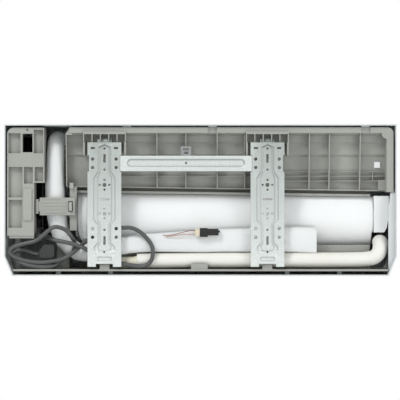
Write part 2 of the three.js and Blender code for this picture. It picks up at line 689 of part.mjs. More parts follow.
function pipeSideBlock() {
  const rear = BLOCK_REAR;
  const front = BLOCK_REAR + BLOCK_DEPTH;
  const skin = 2;
  const floorY = rear + BLOCK_POCKET;
  const body = prismY(blockOutline(), rear, front);
  const columns = [
    [BLOCK_LEFT + 3, -367, 250, 291], [-340, BLOCK_RIGHT - skin, 250, 298],
    [BLOCK_LEFT + 3, -363, 160, 222], [-360, -342, 188, 222],
    [-338, BLOCK_RIGHT - skin, 193, 222], [BLOCK_LEFT + 3, -364, 98, 155],
  ];
  const pockets = columns.map(([x0, x1, z0, z1]) => block(x0, x1, rear - 1, floorY, z0, z1));
  const window = block(-363, -342.5, rear - 1, front + 1, 252, 290);
  const inside = block(
    BLOCK_LEFT + skin, BLOCK_STEP_X - skin, floorY + BLOCK_FACE, front + 1,
    BLOCK_BOTTOM + skin, BLOCK_STEP_Z);
  const insideTop = block(
    BLOCK_LEFT + skin, BLOCK_RIGHT - skin, floorY + BLOCK_FACE, front + 1,
    BLOCK_STEP_Z + skin, BLOCK_TOP - 16);
  const tongue = block(-361.4, -344, rear - 3, rear + 2, 113, 178);
  const screwHole = rod('y', rear - 1, rear + 6, -353, 298, 2, 10);
  const half = KNUCKLE_HEIGHT / 2;
  const middle = CLAMP_BOTTOM + CLAMP_HEIGHT / 2;
  const bore = rod(
    'z', middle - half - 8, middle + half + 8, CLAMP_HINGE_X, CLAMP_HINGE_Y,
    CLAMP_PIN_RADIUS + GAP, 10);
  const ears = [middle - half - GAP - 4, middle + half + GAP].map((low) => join([
    rod('z', low, low + 4, CLAMP_HINGE_X, CLAMP_HINGE_Y, KNUCKLE_RADIUS, 12),
    block(BLOCK_STEP_X - 3, CLAMP_HINGE_X, CLAMP_HINGE_Y, CLAMP_HINGE_Y + KNUCKLE_RADIUS,
      low, low + 4),
  ]));
  const fringe = block(BLOCK_LEFT + 4, BLOCK_STEP_X, rear + 2, rear + 4, BLOCK_BOTTOM - 5,
    BLOCK_BOTTOM + 1);
  const foot = block(
    -HALF_WIDTH + BEVEL_WIDTH + 1, BLOCK_LEFT + 22, front - 8, front,
    RAIL_HEIGHT + GAP, BLOCK_BOTTOM + 2);
  return join([body, tongue, fringe, foot])
    .subtract(join([...pockets, window, inside, insideTop, screwHole]))
    .add(join(ears))
    .subtract(bore);
}

// ---------- pipe clamp ----------
function pipeClamp() {
  const middle = CLAMP_BOTTOM + CLAMP_HEIGHT / 2;
  const half = KNUCKLE_HEIGHT / 2;
  const y0 = CLAMP_HINGE_Y;
  const plate = block(
    CLAMP_HINGE_X + KNUCKLE_RADIUS + 2, CLAMP_RIGHT, y0, y0 + CLAMP_PLATE,
    CLAMP_BOTTOM, CLAMP_BOTTOM + CLAMP_HEIGHT);
  const arm = block(
    CLAMP_HINGE_X, CLAMP_HINGE_X + KNUCKLE_RADIUS + 3, y0, y0 + CLAMP_PLATE,
    middle - half, middle + half);
  const knuckle = rod(
    'z', middle - half, middle + half, CLAMP_HINGE_X, y0, KNUCKLE_RADIUS, 12);
  const bore = rod(
    'z', middle - half - 1, middle + half + 1, CLAMP_HINGE_X, y0,
    CLAMP_PIN_RADIUS + GAP, 10);
  const ridges = [];
  for (let i = 0; i < 5; i += 1) {
    const z = CLAMP_BOTTOM + 4 + i * 7;
    ridges.push(block(CLAMP_HINGE_X + 10, LATCH_X - 9, y0 - 0.8, y0 + 1, z, z + 1.5));
  }
  const clear = 1.8;
  const window = block(
    LATCH_X - LATCH_WIDTH / 2 - clear, LATCH_X + LATCH_WIDTH / 2 + clear, y0 - 1,
    y0 + CLAMP_PLATE + 1, middle - LATCH_HEIGHT / 2 - clear, middle + LATCH_HEIGHT / 2 + clear);
  return join([plate, arm, knuckle, ...ridges]).subtract(join([bore, window]));
}

function clampPin() {
  const middle = CLAMP_BOTTOM + CLAMP_HEIGHT / 2;
  const half = KNUCKLE_HEIGHT / 2 + GAP + 4;
  return rod('z', middle - half, middle + half, CLAMP_HINGE_X, CLAMP_HINGE_Y,
    CLAMP_PIN_RADIUS, 10);
}

// ---------- white foam on the fan chamber ----------
function scrollFoam() {
  const inner = CHASSIS_WALL + GAP;
  const band = prismX(scrollBand(inner, inner + FOAM_THICKNESS), FOAM_LEFT, FOAM_RIGHT);
  const lipUnderside = LIP_DROP + LIP_THICKNESS + GAP;
  const lip = fallingSlab(
    FOAM_LEFT - 1, FOAM_RIGHT + 1, 40, 70, lipUnderside - 30, 30);
  const wallClearance = block(
    FOAM_LEFT - 1, FOAM_RIGHT + 1, SCROLL_WALL_REAR - GAP, 72, 140, 190);
  const underCut = block(FOAM_LEFT - 1, FOAM_LEFT + 14, 60, 120, 40, 80);
  const hoseCut = block(
    SPOUT_X - HOSE_RADIUS - 1, FOAM_RIGHT + 1, 40, 63, 40, SPOUT_Z + HOSE_RADIUS + 1);
  return band.subtract(join([lip, wallClearance, underCut, hoseCut]));
}

function scrollFoamEnd() {
  const x0 = FOAM_RIGHT + GAP;
  const x1 = x0 + FOAM_END_WIDTH;
  const shape = outline([
    [x0, 88], [x1 - 10, 88], [x1 - 5, 96], [x1 - 1.5, 112], [x1, 135], [x1, 163], [x0, 163],
  ]);
  const rear = scrollPoint(180, CHASSIS_WALL + GAP + FOAM_THICKNESS)[0];
  return prismY(shape, rear, rear + 16);
}

// ---------- refrigerant pipes in their foam ----------
// Centre line of the foam from the coil's end over the top, down and round to the right.
// Each point also says which way the gas pipe lies from the centre.
const RISER_ROUTE = [
  { at: [-298, 102, 281], towards: [1, 0, 0] },
  { at: [-298, 82, 281], towards: [1, 0, 0] },
  { at: [-298.5, 60, 272], towards: [1, 0, 0] },
  { at: [-299.5, 49, 249], towards: [1, 0, 0] },
  { at: [-300, 46, 214], towards: [1, 0, 0] },
  { at: [-300, 46, 180], towards: [0.92, 0.38, 0] },
  { at: [-299, 46, 146], towards: [0.7, 0.7, 0] },
  { at: [-295, 48, 116], towards: [0.38, 0.92, 0] },
  { at: [-288, 53, 88], towards: [0, 1, 0] },
  { at: [-276, 55, 65], towards: [0, 1, 0] },
  { at: [-257, 53, 50], towards: [0, 0.92, 0.38] },
  { at: [-234, 46, 46], towards: [0, 0.7, 0.7] },
  { at: [-209, 38, 51], towards: [0, 0.38, 0.92] },
  { at: [TAIL_LEFT - GAP, 34, 58], towards: [0, 0, 1] },
];
const PIPE_OFFSET = 5.2;
const COIL_END_PLATE = 3;
const COIL_LEFT = FAN_LEFT - COIL_END_PLATE;

// Height of the tail's middle along X.
function tailMiddle(x) {
  const places = [
    [TAIL_LEFT, 58], [-130, 65.4], [-92, 67.5], [38, 74], [182, 76.4], [TAIL_RIGHT, 73.6],
  ];
  let i = 0;
  while (i < places.length - 2 && x > places[i + 1][0]) {
    i += 1;
  }
  const [[x0, z0], [x1, z1]] = [places[i], places[i + 1]];
  return z0 + ((x - x0) / (x1 - x0)) * (z1 - z0);
}

function tailSwell(x) {
  return 0.74 + (0.26 * (x - TAIL_LEFT)) / (TAIL_RIGHT - TAIL_LEFT);
}

function roundedRectangle(halfA, halfB, corner) {
  const shape = new THREE.Shape();
  const quarter = Math.PI / 2;
  const centres = [[1, 1], [-1, 1], [-1, -1], [1, -1]];
  centres.forEach(([signA, signB], i) => {
    const a = signA * (halfA - corner);
    const b = signB * (halfB - corner);
    shape.absarc(a, b, corner, i * quarter, (i + 1) * quarter, false);
  });
  return shape;
}

function tailSleeve(inset, x0, x1) {
  const shape = roundedRectangle(
    TAIL_HALF_DEPTH - inset, TAIL_HALF_HEIGHT - inset, TAIL_CORNER - inset);
  const settings = { depth: x1 - x0, steps: 8, bevelEnabled: false, curveSegments: 3 };
  const geometry = new THREE.ExtrudeGeometry(shape, settings);
  const place = geometry.attributes.position;
  for (let i = 0; i < place.count; i += 1) {
    const x = x0 + place.getZ(i);
    const z = tailMiddle(x) + place.getY(i) * tailSwell(x);
    place.setXYZ(i, x, TAIL_Y + place.getX(i), z);
  }
  return solid(geometry);
}

function tailFoam() {
  return tailSleeve(0, TAIL_LEFT, TAIL_RIGHT)
    .subtract(tailSleeve(TAIL_WALL, TAIL_LEFT - 1, TAIL_RIGHT + 1));
}

function riserFoam() {
  const centre = RISER_ROUTE.map((point) => point.at);
  const [x0, y0, z0] = centre[0];
  const [x1, y1, z1] = centre[centre.length - 1];
  const longer = [[x0, y0 + 6, z0], ...centre.slice(1, -1), [x1 + 5, y1 - 0.5, z1 + 1]];
  const bore = tube(longer, RISER_BORE, 10, 26);
  const stop = block(x1, x1 + 40, 0, 80, 20, 100);
  return tube(centre.slice(0, -1).concat([[x1 + 4, y1 - 0.4, z1 + 0.8]]), RISER_RADIUS, 12, 26)
    .subtract(stop)
    .subtract(bore);
}

function besidePipe(side) {
  return RISER_ROUTE.map(({ at, towards }) => (
    at.map((value, i) => value + side * PIPE_OFFSET * towards[i])));
}

function tailStretch(offset, end) {
  const stops = [-150, -92, -30, 38, 110].filter((x) => x < end - 20);
  return [...stops, end].map((x) => [x, TAIL_Y, tailMiddle(x) + offset]);
}

const GAS_END = TAIL_RIGHT - 72;
const LIQUID_END = TAIL_RIGHT - 30;
const GAS_TAIL_OFFSET = 7;
const LIQUID_TAIL_OFFSET = -10;

function gasPipe() {
  const end = COIL_LEFT - GAP;
  const start = [[end, 126, 252], [end - 8, 126, 252], [-279, 122, 268], [-291, 113, 279.5]];
  const route = [...start, ...besidePipe(1), ...tailStretch(GAS_TAIL_OFFSET, GAS_END)];
  return tube(route, GAS_RADIUS, 8, 24);
}

function liquidPipe() {
  const end = COIL_LEFT - GAP;
  const start = [[end, 140, 232], [end - 8, 140, 232], [-282, 132, 252], [-301, 117, 274]];
  const route = [...start, ...besidePipe(-1), ...tailStretch(LIQUID_TAIL_OFFSET, LIQUID_END)];
  return tube(route, LIQUID_RADIUS, 8, 24);
}

function flareNut(end, offset, acrossFlats, length) {
  const corner = acrossFlats / 2 / Math.cos(Math.PI / 6);
  const z = tailMiddle(end) + offset;
  return rod('x', end + GAP, end + GAP + length, TAIL_Y, z, corner, 6);
}

// ---------- drain ----------
function drainHose() {
  const hose = tube([
    [SPOUT_X, 62 - GAP, SPOUT_Z], [SPOUT_X, 46, SPOUT_Z - 0.5], [SPOUT_X - 1, 34, 59],
    [SPOUT_X - 5, 30.5, 46], [356, HOSE_Y, 37], [338, HOSE_Y, HOSE_Z + 1.5],
    [300, HOSE_Y, HOSE_Z], [200, HOSE_Y, HOSE_Z], [80, HOSE_Y, HOSE_Z],
    [-40, HOSE_Y, HOSE_Z - 0.7], [HOSE_END_X, HOSE_Y, HOSE_END_Z],
  ], HOSE_RADIUS, 12, 28);
  const cuff = rod(
    'x', HOSE_END_X - CUFF_LENGTH, HOSE_END_X + 1, HOSE_Y, HOSE_END_Z - CUFF_DROP, CUFF_RADIUS,
    12);
  return hose.add(cuff);
}

// ---------- mains cable ----------
// The stowed cable: gland, across the recess behind the left plate, one loop to its right,
// back behind the plate, round the lower left corner, up over the riser, behind it, and
// once more round the corner into the plug.
const CORD_ROUTE = [
  [-327, 27, 80], [-320, 26.8, 79.6], [-309, 20.5, 75.8], [-296, 14, 72.4],
  [-280, 9.8, 69.5], [-262, 9, 65.5], [-242, 9, 59], [-230, 9.4, 52], [-206, 9.4, 38],
  [-184, 9.4, 28.5], [-159, 9.4, 24.6], [-141, 9.4, 21.5], [-122.5, 9.4, 19.2],
  [-108.3, 9.4, 22.8], [-99.7, 9.4, 32.8], [-96.9, 9.4, 47], [-99.7, 9.4, 62.7],
  [-109.7, 9.4, 76.9], [-124, 9.4, 90], [-141, 9.4, 97.7], [-159, 9.4, 97.7],
  [-184, 9.4, 94], [-210, 9.6, 84.5], [-230, 12, 73], [-244, 18, 62],
  [-261.7, 18.2, 46.6], [-279.4, 16.5, 35], [-302.6, 12, 29.6], [-326, 9.6, 27.2],
  [-352, 9.4, 29.8], [-375, 9.4, 36.5], [-388.5, 9.4, 45], [-389, 9.4, 52],
  [-381, 9.4, 59], [-361, 9.4, 65.3], [-338, 9.2, 70.8], [-325.5, 8.8, 79],
  [-313, 8.8, 90], [-297, 8.8, 99.5], [-276, 9.4, 94], [-264, 13, 81], [-258, 22, 69],
  [-258.5, 27.8, 57], [-263.5, 28.6, 46], [-279.4, 27, 35], [-291, 23.5, 27],
  [-299, 17, 20.5], [-309, 11.5, 18.4], [-326, 9.4, 18.2], [-350, 9.4, 21.5],
  [-373, 14, 29.5], [-386, 24, 37.5], [-383, 27, 47], [-372, 27, 51],
  [-355, 26, 50], [-341, 25, 45], [-335, 25, 44], [-329.5, 25, 44],
];
const PLUG_LEFT = -329.5 + GAP;
const PLUG_MIDDLE_Y = 25;
const PLUG_MIDDLE_Z = 44;

function powerCord() {
  return tube(CORD_ROUTE, CORD_RADIUS, 8, 25);
}

function cordGland() {
  return rod('x', BLOCK_STEP_X + GAP, -327 - GAP, 27, 80, 7.5, 12);
}

function powerPlug() {
  const x1 = PLUG_LEFT + PLUG_WIDTH;
  const y0 = PLUG_MIDDLE_Y - PLUG_DEPTH / 2;
  const y1 = PLUG_MIDDLE_Y + PLUG_DEPTH / 2;
  const low = PLUG_MIDDLE_Z - PLUG_HEIGHT / 2 + 6;
  const shape = outline([
    [PLUG_LEFT, PLUG_MIDDLE_Z - 7], [PLUG_LEFT + 9, low], [x1 - 4, low],
    [x1, low + 5], [x1, low + PLUG_HEIGHT - 5], [x1 - 4, low + PLUG_HEIGHT],
    [PLUG_LEFT + 9, low + PLUG_HEIGHT], [PLUG_LEFT, PLUG_MIDDLE_Z + 7],
  ]);
  const body = prismY(shape, y0, y1);
  const pins = [-6, 6].map((shift) => (
    rod('y', y1 - 1, y1 + 15, PLUG_LEFT + 18, low + PLUG_HEIGHT / 2 + shift, 2, 10)));
  return join([body, ...pins]);
}

// ---------- sensor wires and their connector ----------
const COLLAR_X = -10.4;
const CONNECTOR_Y = 9;
const CONNECTOR_Z = 88.5;
const WIRE_SPREAD = [3.5, -3.5];

function sensorWire(index) {
  const z = CONNECTOR_Z + WIRE_SPREAD[index];
  const y = CONNECTOR_Y;
  return tube([
    [-76 + 6 * index, 14.2, 82 - 2.6 * index], [-60 + 4 * index, 12, 83 - 1.6 * index],
    [-38, 10, 86 + WIRE_SPREAD[index] * 0.6], [-22, y, z], [COLLAR_X - GAP, y, z],
  ], WIRE_RADIUS, 8, 6);
}

function wireCollar() {
  return block(
    COLLAR_X, COLLAR_X + COLLAR_LENGTH, CONNECTOR_Y - 4, CONNECTOR_Y + 4,
    CONNECTOR_Z - 8, CONNECTOR_Z + 8);
}

function wireConnector() {
  const x0 = COLLAR_X + COLLAR_LENGTH + GAP;
  const half = CONNECTOR_HEIGHT / 2;
  const y0 = CONNECTOR_Y - CONNECTOR_DEPTH / 2;
  const y1 = CONNECTOR_Y + CONNECTOR_DEPTH / 2;
  const plug = block(x0, x0 + 16, y0, y1, CONNECTOR_Z - half, CONNECTOR_Z + half);
  const socket = block(
    x0 + 15, x0 + CONNECTOR_LENGTH - 3, y0 + 1, y1 - 1, CONNECTOR_Z - half + 3,
    CONNECTOR_Z + half - 1.5);
  const tip = block(
    x0 + CONNECTOR_LENGTH - 4, x0 + CONNECTOR_LENGTH, y0 + 3, y1 - 3, CONNECTOR_Z,
    CONNECTOR_Z + 4);
  return join([plug, socket, tip]);
}

// ---------- fan, its shaft, bearing and motor ----------
function fanWheel() {
  const pieces = [];
  const discs = [FAN_LEFT, -52, 142, FAN_RIGHT - FAN_DISC];
  for (const [i, x] of discs.entries()) {
    const disc = rod('x', x, x + FAN_DISC, FAN_Y, FAN_Z, FAN_RADIUS, 16);
    const isEnd = i === 0 || i === discs.length - 1;
    const hole = rod(
      'x', x - 1, x + FAN_DISC + 1, FAN_Y, FAN_Z, FAN_RADIUS - FAN_RING - 3, 12);
    pieces.push(isEnd ? disc : disc.subtract(hole));
  }
  for (let i = 0; i < FAN_BLADES; i += 1) {
    const turn = (360 * i) / FAN_BLADES;
    const blade = block(
      FAN_LEFT + 1, FAN_RIGHT - 1, FAN_RADIUS - FAN_RING, FAN_RADIUS - 1, -0.7, 0.7);
    pieces.push(blade.rotate([30, 0, 0])
      .translate([0, 6, -18])
      .rotate([turn, 0, 0])
      .translate([0, FAN_Y, FAN_Z]));
  }
  const hub = rod('x', FAN_LEFT, FAN_LEFT + 14, FAN_Y, FAN_Z, 10, 12);
  const bore = rod('x', FAN_LEFT - 1, FAN_LEFT + 11, FAN_Y, FAN_Z, SHAFT_RADIUS + GAP, 12);
  const stub = rod('x', FAN_RIGHT - 1, CHAMBER_RIGHT + 4, FAN_Y, FAN_Z, SHAFT_RADIUS, 12);
  return join([...pieces, hub, stub]).subtract(bore);
}

function fanShaft() {
  return rod('x', MOTOR_LEFT + 32, FAN_LEFT + 10, FAN_Y, FAN_Z, SHAFT_RADIUS, 12);
}

function fanBearing() {
  const x0 = CHAMBER_RIGHT + CHASSIS_WALL - BEARING_WIDTH;
  const x1 = CHAMBER_RIGHT + CHASSIS_WALL;
  const outer = rod('x', x0, x1, FAN_Y, FAN_Z, BEARING_RADIUS, 20);
  return outer.subtract(rod('x', x0 - 1, x1 + 1, FAN_Y, FAN_Z, SHAFT_RADIUS + GAP, 12));
}

function fanMotor() {
  const x1 = MOTOR_LEFT + MOTOR_LENGTH;
  const can = rod('x', MOTOR_LEFT, x1, FAN_Y, FAN_Z, MOTOR_RADIUS, 24);
  const nose = rod('x', x1 - 1, x1 + 3, FAN_Y, FAN_Z, 12, 16);
  const bore = rod(
    'x', MOTOR_LEFT + 31, x1 + 4, FAN_Y, FAN_Z, SHAFT_RADIUS + GAP, 12);
  return join([can, nose]).subtract(bore);
}

function motorCradle() {
  const x0 = MOTOR_LEFT + 8;
  const x1 = MOTOR_LEFT + 34;
  const foot = 86;
  const body = block(x0, x1, foot, FAN_Y + 32, RAIL_HEIGHT + GAP, FAN_Z - 14);
  const seat = rod('x', x0 - 1, x1 + 1, FAN_Y, FAN_Z, MOTOR_RADIUS + GAP, 24);
  const hollow = block(x0 + 3, x1 - 3, foot + 3, FAN_Y + 29, RAIL_HEIGHT - 1, FAN_Z - 48);
  const cutFront = block(x0 - 1, x1 + 1, CHIN_REAR - 6, 200, 0, 62);
  return body.subtract(join([seat, hollow, cutFront]));
}

// ---------- evaporator coil ----------
function coilSlab(length, tubeCount) {
  const half = COIL_THICKNESS / 2;
  const fins = block(FAN_LEFT, FAN_RIGHT, -half, half, 0, length);
  const endPlates = [COIL_LEFT, FAN_RIGHT].map((x) => (
    block(x, x + COIL_END_PLATE, -half, half, 0, length)));
  const pitch = length / tubeCount;
  const bends = [];
  for (let i = 0; i < tubeCount - 1; i += 2) {
    const low = pitch * (i + 0.5);
    const x = FAN_RIGHT + 2;
    const route = [[x, 0, low], [x + BEND_REACH, 0, low + pitch / 2], [x, 0, low + pitch]];
    bends.push(tube(route, COIL_TUBE, 8, 6));
  }
  const fullLength = FAN_RIGHT - FAN_LEFT;
  const groovePitch = fullLength / FIN_GROOVES;
  const grooves = [];
  for (let i = 0; i < FIN_GROOVES; i += 1) {
    const from = FAN_LEFT + i * groovePitch + 4;
    grooves.push(block(
      from, from + groovePitch - 8, -half - 1, -half + GROOVE_DEPTH, 3, length - 3));
  }
  return join([fins, ...endPlates, ...bends]).subtract(join(grooves));
}

// A point of a tipped slab, from its depth across the slab and its way up the slab.
function tippedPoint(tilt, depth, up) {
  const turn = THREE.MathUtils.degToRad(tilt);
  return [
    depth * Math.cos(turn) - up * Math.sin(turn), depth * Math.sin(turn) + up * Math.cos(turn),
  ];
}

const HALF_COIL = COIL_THICKNESS / 2;
const LOWER_FOOT = PAN_LOW + PAN_WALL + COIL_SEAT + GAP;

function coilFrontLower() {
  return coilSlab(LOWER_LENGTH, 4).translate([0, COIL_FRONT_Y, LOWER_FOOT]);
}

// The upper slab stands on the lower slab's rear top edge.
const UPPER_REST = tippedPoint(UPPER_TILT, 1 - HALF_COIL, -GAP);
const UPPER_FOOT = [
  COIL_FRONT_Y - HALF_COIL - UPPER_REST[0], LOWER_FOOT + LOWER_LENGTH - UPPER_REST[1],
];

function coilFrontUpper() {
  return coilSlab(UPPER_LENGTH, 4).rotate([UPPER_TILT, 0, 0])
    .translate([0, ...UPPER_FOOT]);
}

// The rear slab's top front edge leans on the upper slab's rear face.
function coilRear() {
  const lean = tippedPoint(UPPER_TILT, -HALF_COIL - GAP, UPPER_LENGTH - REAR_LEAN);
  const edge = tippedPoint(REAR_TILT, HALF_COIL, REAR_LENGTH);
  return coilSlab(REAR_LENGTH, 4).rotate([REAR_TILT, 0, 0]).translate([
    0, UPPER_FOOT[0] + lean[0] - edge[0], UPPER_FOOT[1] + lean[1] - edge[1],
  ]);
}

function drainPan() {
  const x0 = COIL_LEFT - GAP - PAN_WALL;
  const x1 = SPOUT_X + 10;
  const floor = PAN_LOW + PAN_WALL;
  const shape = outline([
    [PAN_REAR, PAN_LOW], [PAN_FRONT, PAN_LOW], [PAN_FRONT, PAN_HIGH],
    [PAN_FRONT - PAN_WALL, PAN_HIGH], [PAN_FRONT - PAN_WALL, floor],
    [PAN_REAR + PAN_WALL, floor], [PAN_REAR + PAN_WALL, PAN_HIGH - 4],
    [PAN_REAR, PAN_HIGH - 4],
  ]);
  const trough = prismX(shape, x0, x1);
  const endWalls = [x0, x1 - PAN_WALL].map((x) => (
    block(x, x + PAN_WALL, PAN_REAR, PAN_FRONT, PAN_LOW, PAN_HIGH)));
  const filterLedge = block(x0, x1, PAN_FRONT - 1, CASING_FRONT - CASING_WALL - GAP,
    FILTER_LOW - GAP - PAN_WALL, FILTER_LOW - GAP);
  const seatRear = COIL_FRONT_Y - COIL_THICKNESS / 2;
  const seats = [[x0 + 1, COIL_LEFT + COIL_END_PLATE], [FAN_RIGHT, x1 - 1]].map(([from, to]) => (
    block(from, to, seatRear, PAN_FRONT - 1, PAN_LOW + 1, floor + COIL_SEAT)));
  return join([trough, ...endWalls, ...seats, filterLedge]);
}

// Drain spout: runs from the pan under the coil back to the hose.
function drainSpout() {
  const pipe = tube([
    [SPOUT_X, 62, SPOUT_Z], [SPOUT_X, 80, SPOUT_Z], [SPOUT_X, 110, 72],
    [SPOUT_X, 140, 77], [SPOUT_X, 152, 78],
  ], SPOUT_RADIUS, 10, 20);
  const cup = block(CHAMBER_RIGHT + 4, SPOUT_X + 10, 148, 182, 74, PAN_LOW - GAP);
  const bore = tube([
    [SPOUT_X, 61, SPOUT_Z], [SPOUT_X, 80, SPOUT_Z], [SPOUT_X, 110, 72],
    [SPOUT_X, 140, 77], [SPOUT_X, 158, 78.5],
  ], SPOUT_RADIUS - 2, 8, 20);
  const bowl = block(CHAMBER_RIGHT + 6, SPOUT_X + 8, 150, 180, 76, 85);
  return join([pipe, cup]).subtract(join([bore, bowl]));
}

// ---------- air outlet ----------
const CHIN_RUN = [CASING_FRONT - CHIN_REAR, CHIN_TOP];
const CHIN_LENGTH = Math.hypot(CHIN_RUN[0], CHIN_RUN[1]);
const ALONG = [CHIN_RUN[0] / CHIN_LENGTH, CHIN_RUN[1] / CHIN_LENGTH];

// A place given by its distance along the slanted underside and its depth inside it.
function chinPoint(along, depth) {
  return [
    CHIN_REAR + along * ALONG[0] - depth * ALONG[1],
    along * ALONG[1] + depth * ALONG[0],
  ];
}

const [LOUVRE_Y, LOUVRE_Z] = chinPoint(LOUVRE_PIVOT_ALONG, LOUVRE_PIVOT_DEPTH);
const OUTLET_LEFT = CHAMBER_LEFT + 2;
const OUTLET_RIGHT = CHAMBER_RIGHT - 2;
const CHEEK = 2.5;

function outletDuct() {
  const cheekShape = outline([
    chinPoint(6, 3.2), chinPoint(88, 3.2), [178, 72], [153, 82], [120, 45], [123, 15],
  ]);
  const left = OUTLET_LEFT - CHEEK + 1;
  const right = OUTLET_RIGHT - 1;
  const cheeks = [left, right].map((x) => prismX(cheekShape, x, x + CHEEK));
  const roofShape = outline([
    [152, 82], [178, 66], chinPoint(86, 3.2), chinPoint(88, 3.2), [182, 72], [154, 83.7],
  ]);
  const roof = prismX(roofShape, left, right + CHEEK);
  const holes = [left, right].map((x) => (
    rod('x', x - 1, x + CHEEK + 1, LOUVRE_Y, LOUVRE_Z, LOUVRE_PIN + GAP, 12)));
  return join([...cheeks, roof]).subtract(join(holes));
}

function louvre() {
  const left = OUTLET_LEFT + 4;
  const right = OUTLET_RIGHT - 4;
  const thick = LOUVRE_THICKNESS;
  const from = OUTLET_START + 2;
  const to = OUTLET_START + OUTLET_LENGTH - 2;
  const middle = (from + to) / 2;
  const slat = prismX(outline([
    chinPoint(from, 0), chinPoint(middle, -1.2), chinPoint(to, 0),
    chinPoint(to, thick), chinPoint(middle, thick - 1.2), chinPoint(from, thick),
  ]), left, right);
  const armShape = outline([
    chinPoint(LOUVRE_PIVOT_ALONG - 8, 1), chinPoint(LOUVRE_PIVOT_ALONG + 12, 1),
    chinPoint(LOUVRE_PIVOT_ALONG + 4, LOUVRE_PIVOT_DEPTH + 3),
    chinPoint(LOUVRE_PIVOT_ALONG - 4, LOUVRE_PIVOT_DEPTH + 3),
  ]);
  const arms = [left, right - 3].map((x) => prismX(armShape, x, x + 3));
  const pins = [
    rod('x', OUTLET_LEFT - CHEEK + 1, left + 1, LOUVRE_Y, LOUVRE_Z, LOUVRE_PIN, 12),
    rod('x', right - 1, OUTLET_RIGHT + CHEEK - 1, LOUVRE_Y, LOUVRE_Z, LOUVRE_PIN, 12),
  ];
  return join([slat, ...arms, ...pins]);
}

function louvreMotor() {
  const x1 = OUTLET_LEFT - CHEEK + 1 - GAP;
  const [y, z] = chinPoint(LOUVRE_PIVOT_ALONG, LOUVRE_PIVOT_DEPTH + 9.5);
  const can = rod('x', x1 - 17, x1, y, z, 12, 16);
  const plugBox = block(x1 - 14, x1 - 3, y - 6, y + 8, z, z + 15);
  return join([can, plugBox]);
}

// Vanes stand on the duct floor. They are drawn upright round their pivot, the flow along
// +Y, and are then tipped with the floor.
const FLOOR_TILT = Math.atan2(RAMP_FOOT[1] - RAMP_HEAD[1], RAMP_FOOT[0] - RAMP_HEAD[0]);
const FLOOR_LIFT = VANE_FLOOR + GAP;
const VANE_PLACE = [
  RAMP_FOOT[0] - VANE_FOOT_UP * Math.cos(FLOOR_TILT) - FLOOR_LIFT * Math.sin(FLOOR_TILT),
  RAMP_FOOT[1] - VANE_FOOT_UP * Math.sin(FLOOR_TILT) + FLOOR_LIFT * Math.cos(FLOOR_TILT),
];
const BANK_CENTRES = [
  OUTLET_LEFT + (OUTLET_RIGHT - OUTLET_LEFT) * 0.25,
  OUTLET_LEFT + (OUTLET_RIGHT - OUTLET_LEFT) * 0.75,
];
const VANE_PITCH = (OUTLET_RIGHT - OUTLET_LEFT) / 2 / (VANES_PER_BANK + 0.4);

function vane() {
  const half = VANE_LENGTH / 2;
  const plate = block(-VANE_THICKNESS / 2, VANE_THICKNESS / 2, -half, half, 2, 2 + VANE_HEIGHT);
  const pin = rod('z', 0.4, 4, 0, 0, VANE_PIN, 8);
  const boss = rod('z', 2, 8, 0, 0, VANE_PIN + 1.2, 8);
  const crank = rod(
    'z', VANE_HEIGHT, VANE_HEIGHT + 2 + LINK_THICKNESS + 1.5, 0, -VANE_CRANK, 1.1, 8);
  return join([plate, pin, boss, crank]);
}

function vaneLink() {
  const reach = (VANE_PITCH * (VANES_PER_BANK - 1)) / 2 + 6;
  const low = VANE_HEIGHT + 2 + GAP;
  const bar = block(
    -reach, reach, -VANE_CRANK - 3.5, -VANE_CRANK + LINK_WIDTH - 3.5, low,
    low + LINK_THICKNESS);
  const slots = [];
  for (let i = 0; i < VANES_PER_BANK; i += 1) {
    const x = (i - (VANES_PER_BANK - 1) / 2) * VANE_PITCH;
    slots.push(block(
      x - 1.8, x + 1.8, -VANE_CRANK - 1.8, -VANE_CRANK + 3.6, low - 1, low + 4));
  }
  return bar.subtract(join(slots));
}

function vaneFloor() {
  const floor = block(
    OUTLET_LEFT - 1, OUTLET_RIGHT + 1, -VANE_LENGTH / 2 - 3, VANE_LENGTH / 2 + 6,
    -VANE_FLOOR, 0);
  const holes = [];
  for (const centre of BANK_CENTRES) {
    for (let i = 0; i < VANES_PER_BANK; i += 1) {
      const x = centre + (i - (VANES_PER_BANK - 1) / 2) * VANE_PITCH;
      holes.push(rod('z', -3, 1, x, 0, VANE_PIN + GAP, 8));
    }
  }
  return floor.subtract(join(holes));
}

// ---------- outer casing ----------
function casingProfile(inset, rear) {
  const corner = TOP_CORNER_RADIUS - inset;
  const front = CASING_FRONT - inset;
  const top = UNIT_HEIGHT - inset;
  const shape = new THREE.Shape();
  shape.moveTo(rear, inset);
  shape.lineTo(CHIN_REAR - inset * 0.4, inset);
  shape.lineTo(front, CHIN_TOP + inset * 0.4);
  shape.lineTo(front, top - corner);
  shape.absarc(front - corner, top - corner, corner, 0, Math.PI / 2, false);
  shape.lineTo(rear, top);
  return shape;
}

function casingOutline(inset) {
  const half = HALF_WIDTH - inset;
  const top = UNIT_HEIGHT - inset;
  return outline([
    [-half, top], [-half, BEVEL_HEIGHT], [-half + BEVEL_WIDTH, inset],
    [half - BEVEL_WIDTH, inset], [half, BEVEL_HEIGHT], [half, top],
  ]);
}

function casingShell(inset, rear) {
  const half = HALF_WIDTH - inset;
  const long = prismX(casingProfile(inset, rear), -half, half, 4);
  return long.intersect(prismY(casingOutline(inset), rear - 1, CASING_FRONT + 1));
}

